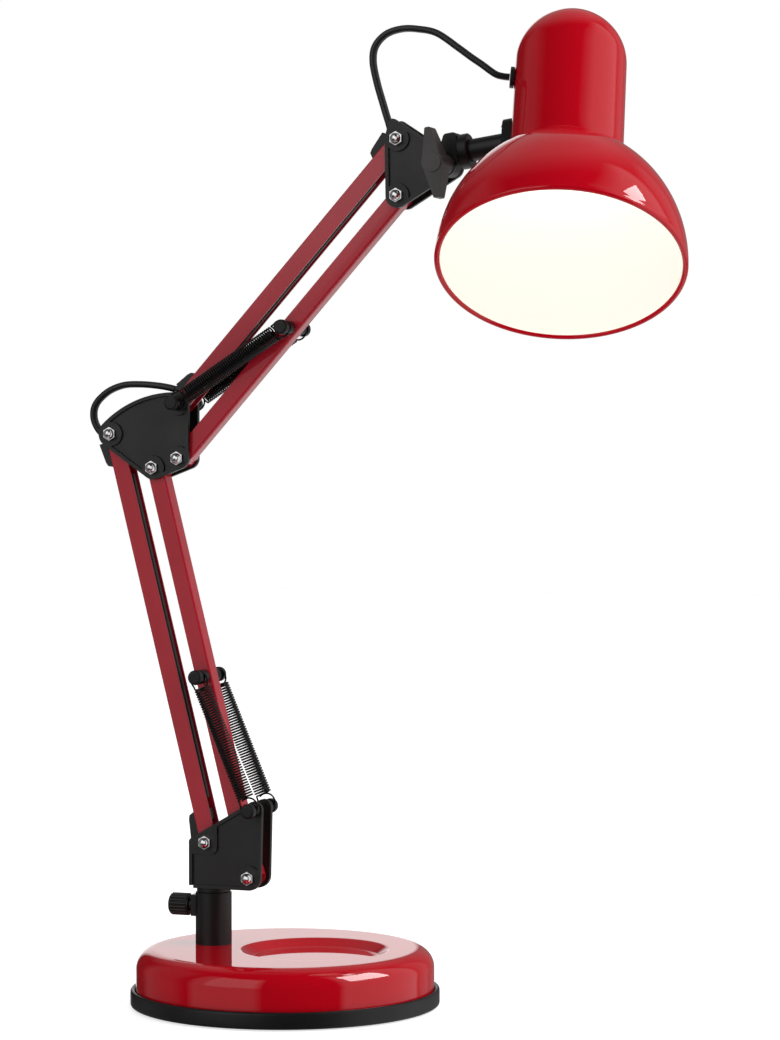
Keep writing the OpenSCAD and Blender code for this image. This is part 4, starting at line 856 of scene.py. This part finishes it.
# A light without a list of pieces lights everything, and gloss doesn't show it
def addSoftBox(name, box):
    only = box.get("on", [])
    light = bpy.data.lights.new(name, "AREA")
    light.shape = "RECTANGLE"
    light.size, light.size_y = box["size"]
    light.energy = box["power"]
    holder = bpy.data.objects.new(name, light)
    holder.location = box["place"]
    holder.rotation_mode = "QUATERNION"
    holder.rotation_quaternion = (Vector(lightAim) - Vector(box["place"])).to_track_quat("-Z", "Y")
    holder.visible_camera = False
    holder.visible_diffuse = not only
    holder.visible_glossy = bool(only)
    if only:
        lit = bpy.data.collections.new(name + "Lit")
        for piece in only:
            lit.objects.link(bpy.data.objects[piece])
        holder.light_linking.receiver_collection = lit
    bpy.context.scene.collection.objects.link(holder)


# 1 between two angles, 0 outside them, with soft edges
def addWindow(tree, angle, low, high, soft):
    rise = addRange(tree, angle, low - soft, low + soft)
    fall = addRange(tree, angle, high - soft, high + soft, 1.0, 0.0)
    return addMath(tree, "MULTIPLY", rise, fall)


# White panels round a dim studio, as gloss and light meet them. Seen directly the surround is plain white
def addWorld(look):
    world = bpy.data.worlds.new("surround")
    world.use_nodes = True
    tree = world.node_tree
    background = tree.nodes["Background"]
    background.inputs["Color"].default_value = look["colour"]
    direction = tree.nodes.new("ShaderNodeTexCoord").outputs["Generated"]
    aheadX, aheadY = cameraView["ahead"]
    degrees = 180 / math.pi
    towards = addDot(tree, direction, (-aheadX, -aheadY, 0))
    rightwards = addDot(tree, direction, (aheadY, -aheadX, 0))
    compass = addMath(tree, "MULTIPLY", addMath(tree, "ARCTAN2", rightwards, towards), degrees)
    upwards = addDot(tree, direction, (0, 0, 1))
    height = addMath(tree, "MULTIPLY", addMath(tree, "ARCSINE", upwards, 0.0), degrees)
    back = math.radians(ceiling["back"])
    overhead = addDot(tree, direction, (aheadX * math.sin(back), aheadY * math.sin(back), math.cos(back)))
    off = addMath(tree, "MULTIPLY", addMath(tree, "ARCCOSINE", overhead, 0.0), degrees)
    outer, inner = ceiling["spread"] + ceiling["soft"], ceiling["spread"] - ceiling["soft"]
    glow = addMath(tree, "ADD", addRange(tree, off, inner, outer, ceiling["glow"], 0.0), look["dim"])
    for panel in panels.values():
        across = addWindow(tree, compass, *panel["compass"], panel["soft"][0])
        tall = addWindow(tree, height, *panel["height"], panel["soft"][1])
        lit = addMath(tree, "MULTIPLY", addMath(tree, "MULTIPLY", across, tall), panel["glow"])
        glow = addMath(tree, "MAXIMUM", glow, lit)
    path = tree.nodes.new("ShaderNodeLightPath")
    strength = tree.nodes.new("ShaderNodeMix")
    tree.links.new(path.outputs["Is Camera Ray"], strength.inputs["Factor"])
    tree.links.new(glow, strength.inputs["A"])
    strength.inputs["B"].default_value = look["seen"]
    tree.links.new(strength.outputs["Result"], background.inputs["Strength"])
    bpy.context.scene.world = world


addFloor(floorShape)
for name, box in softBoxes.items():
    addSoftBox(name + "SoftBox", box)
for name, box in glints.items():
    addSoftBox(name + "Glint", box)
addWorld(surround)
bpy.context.scene.view_settings.view_transform = "Standard"
print("studio lit")
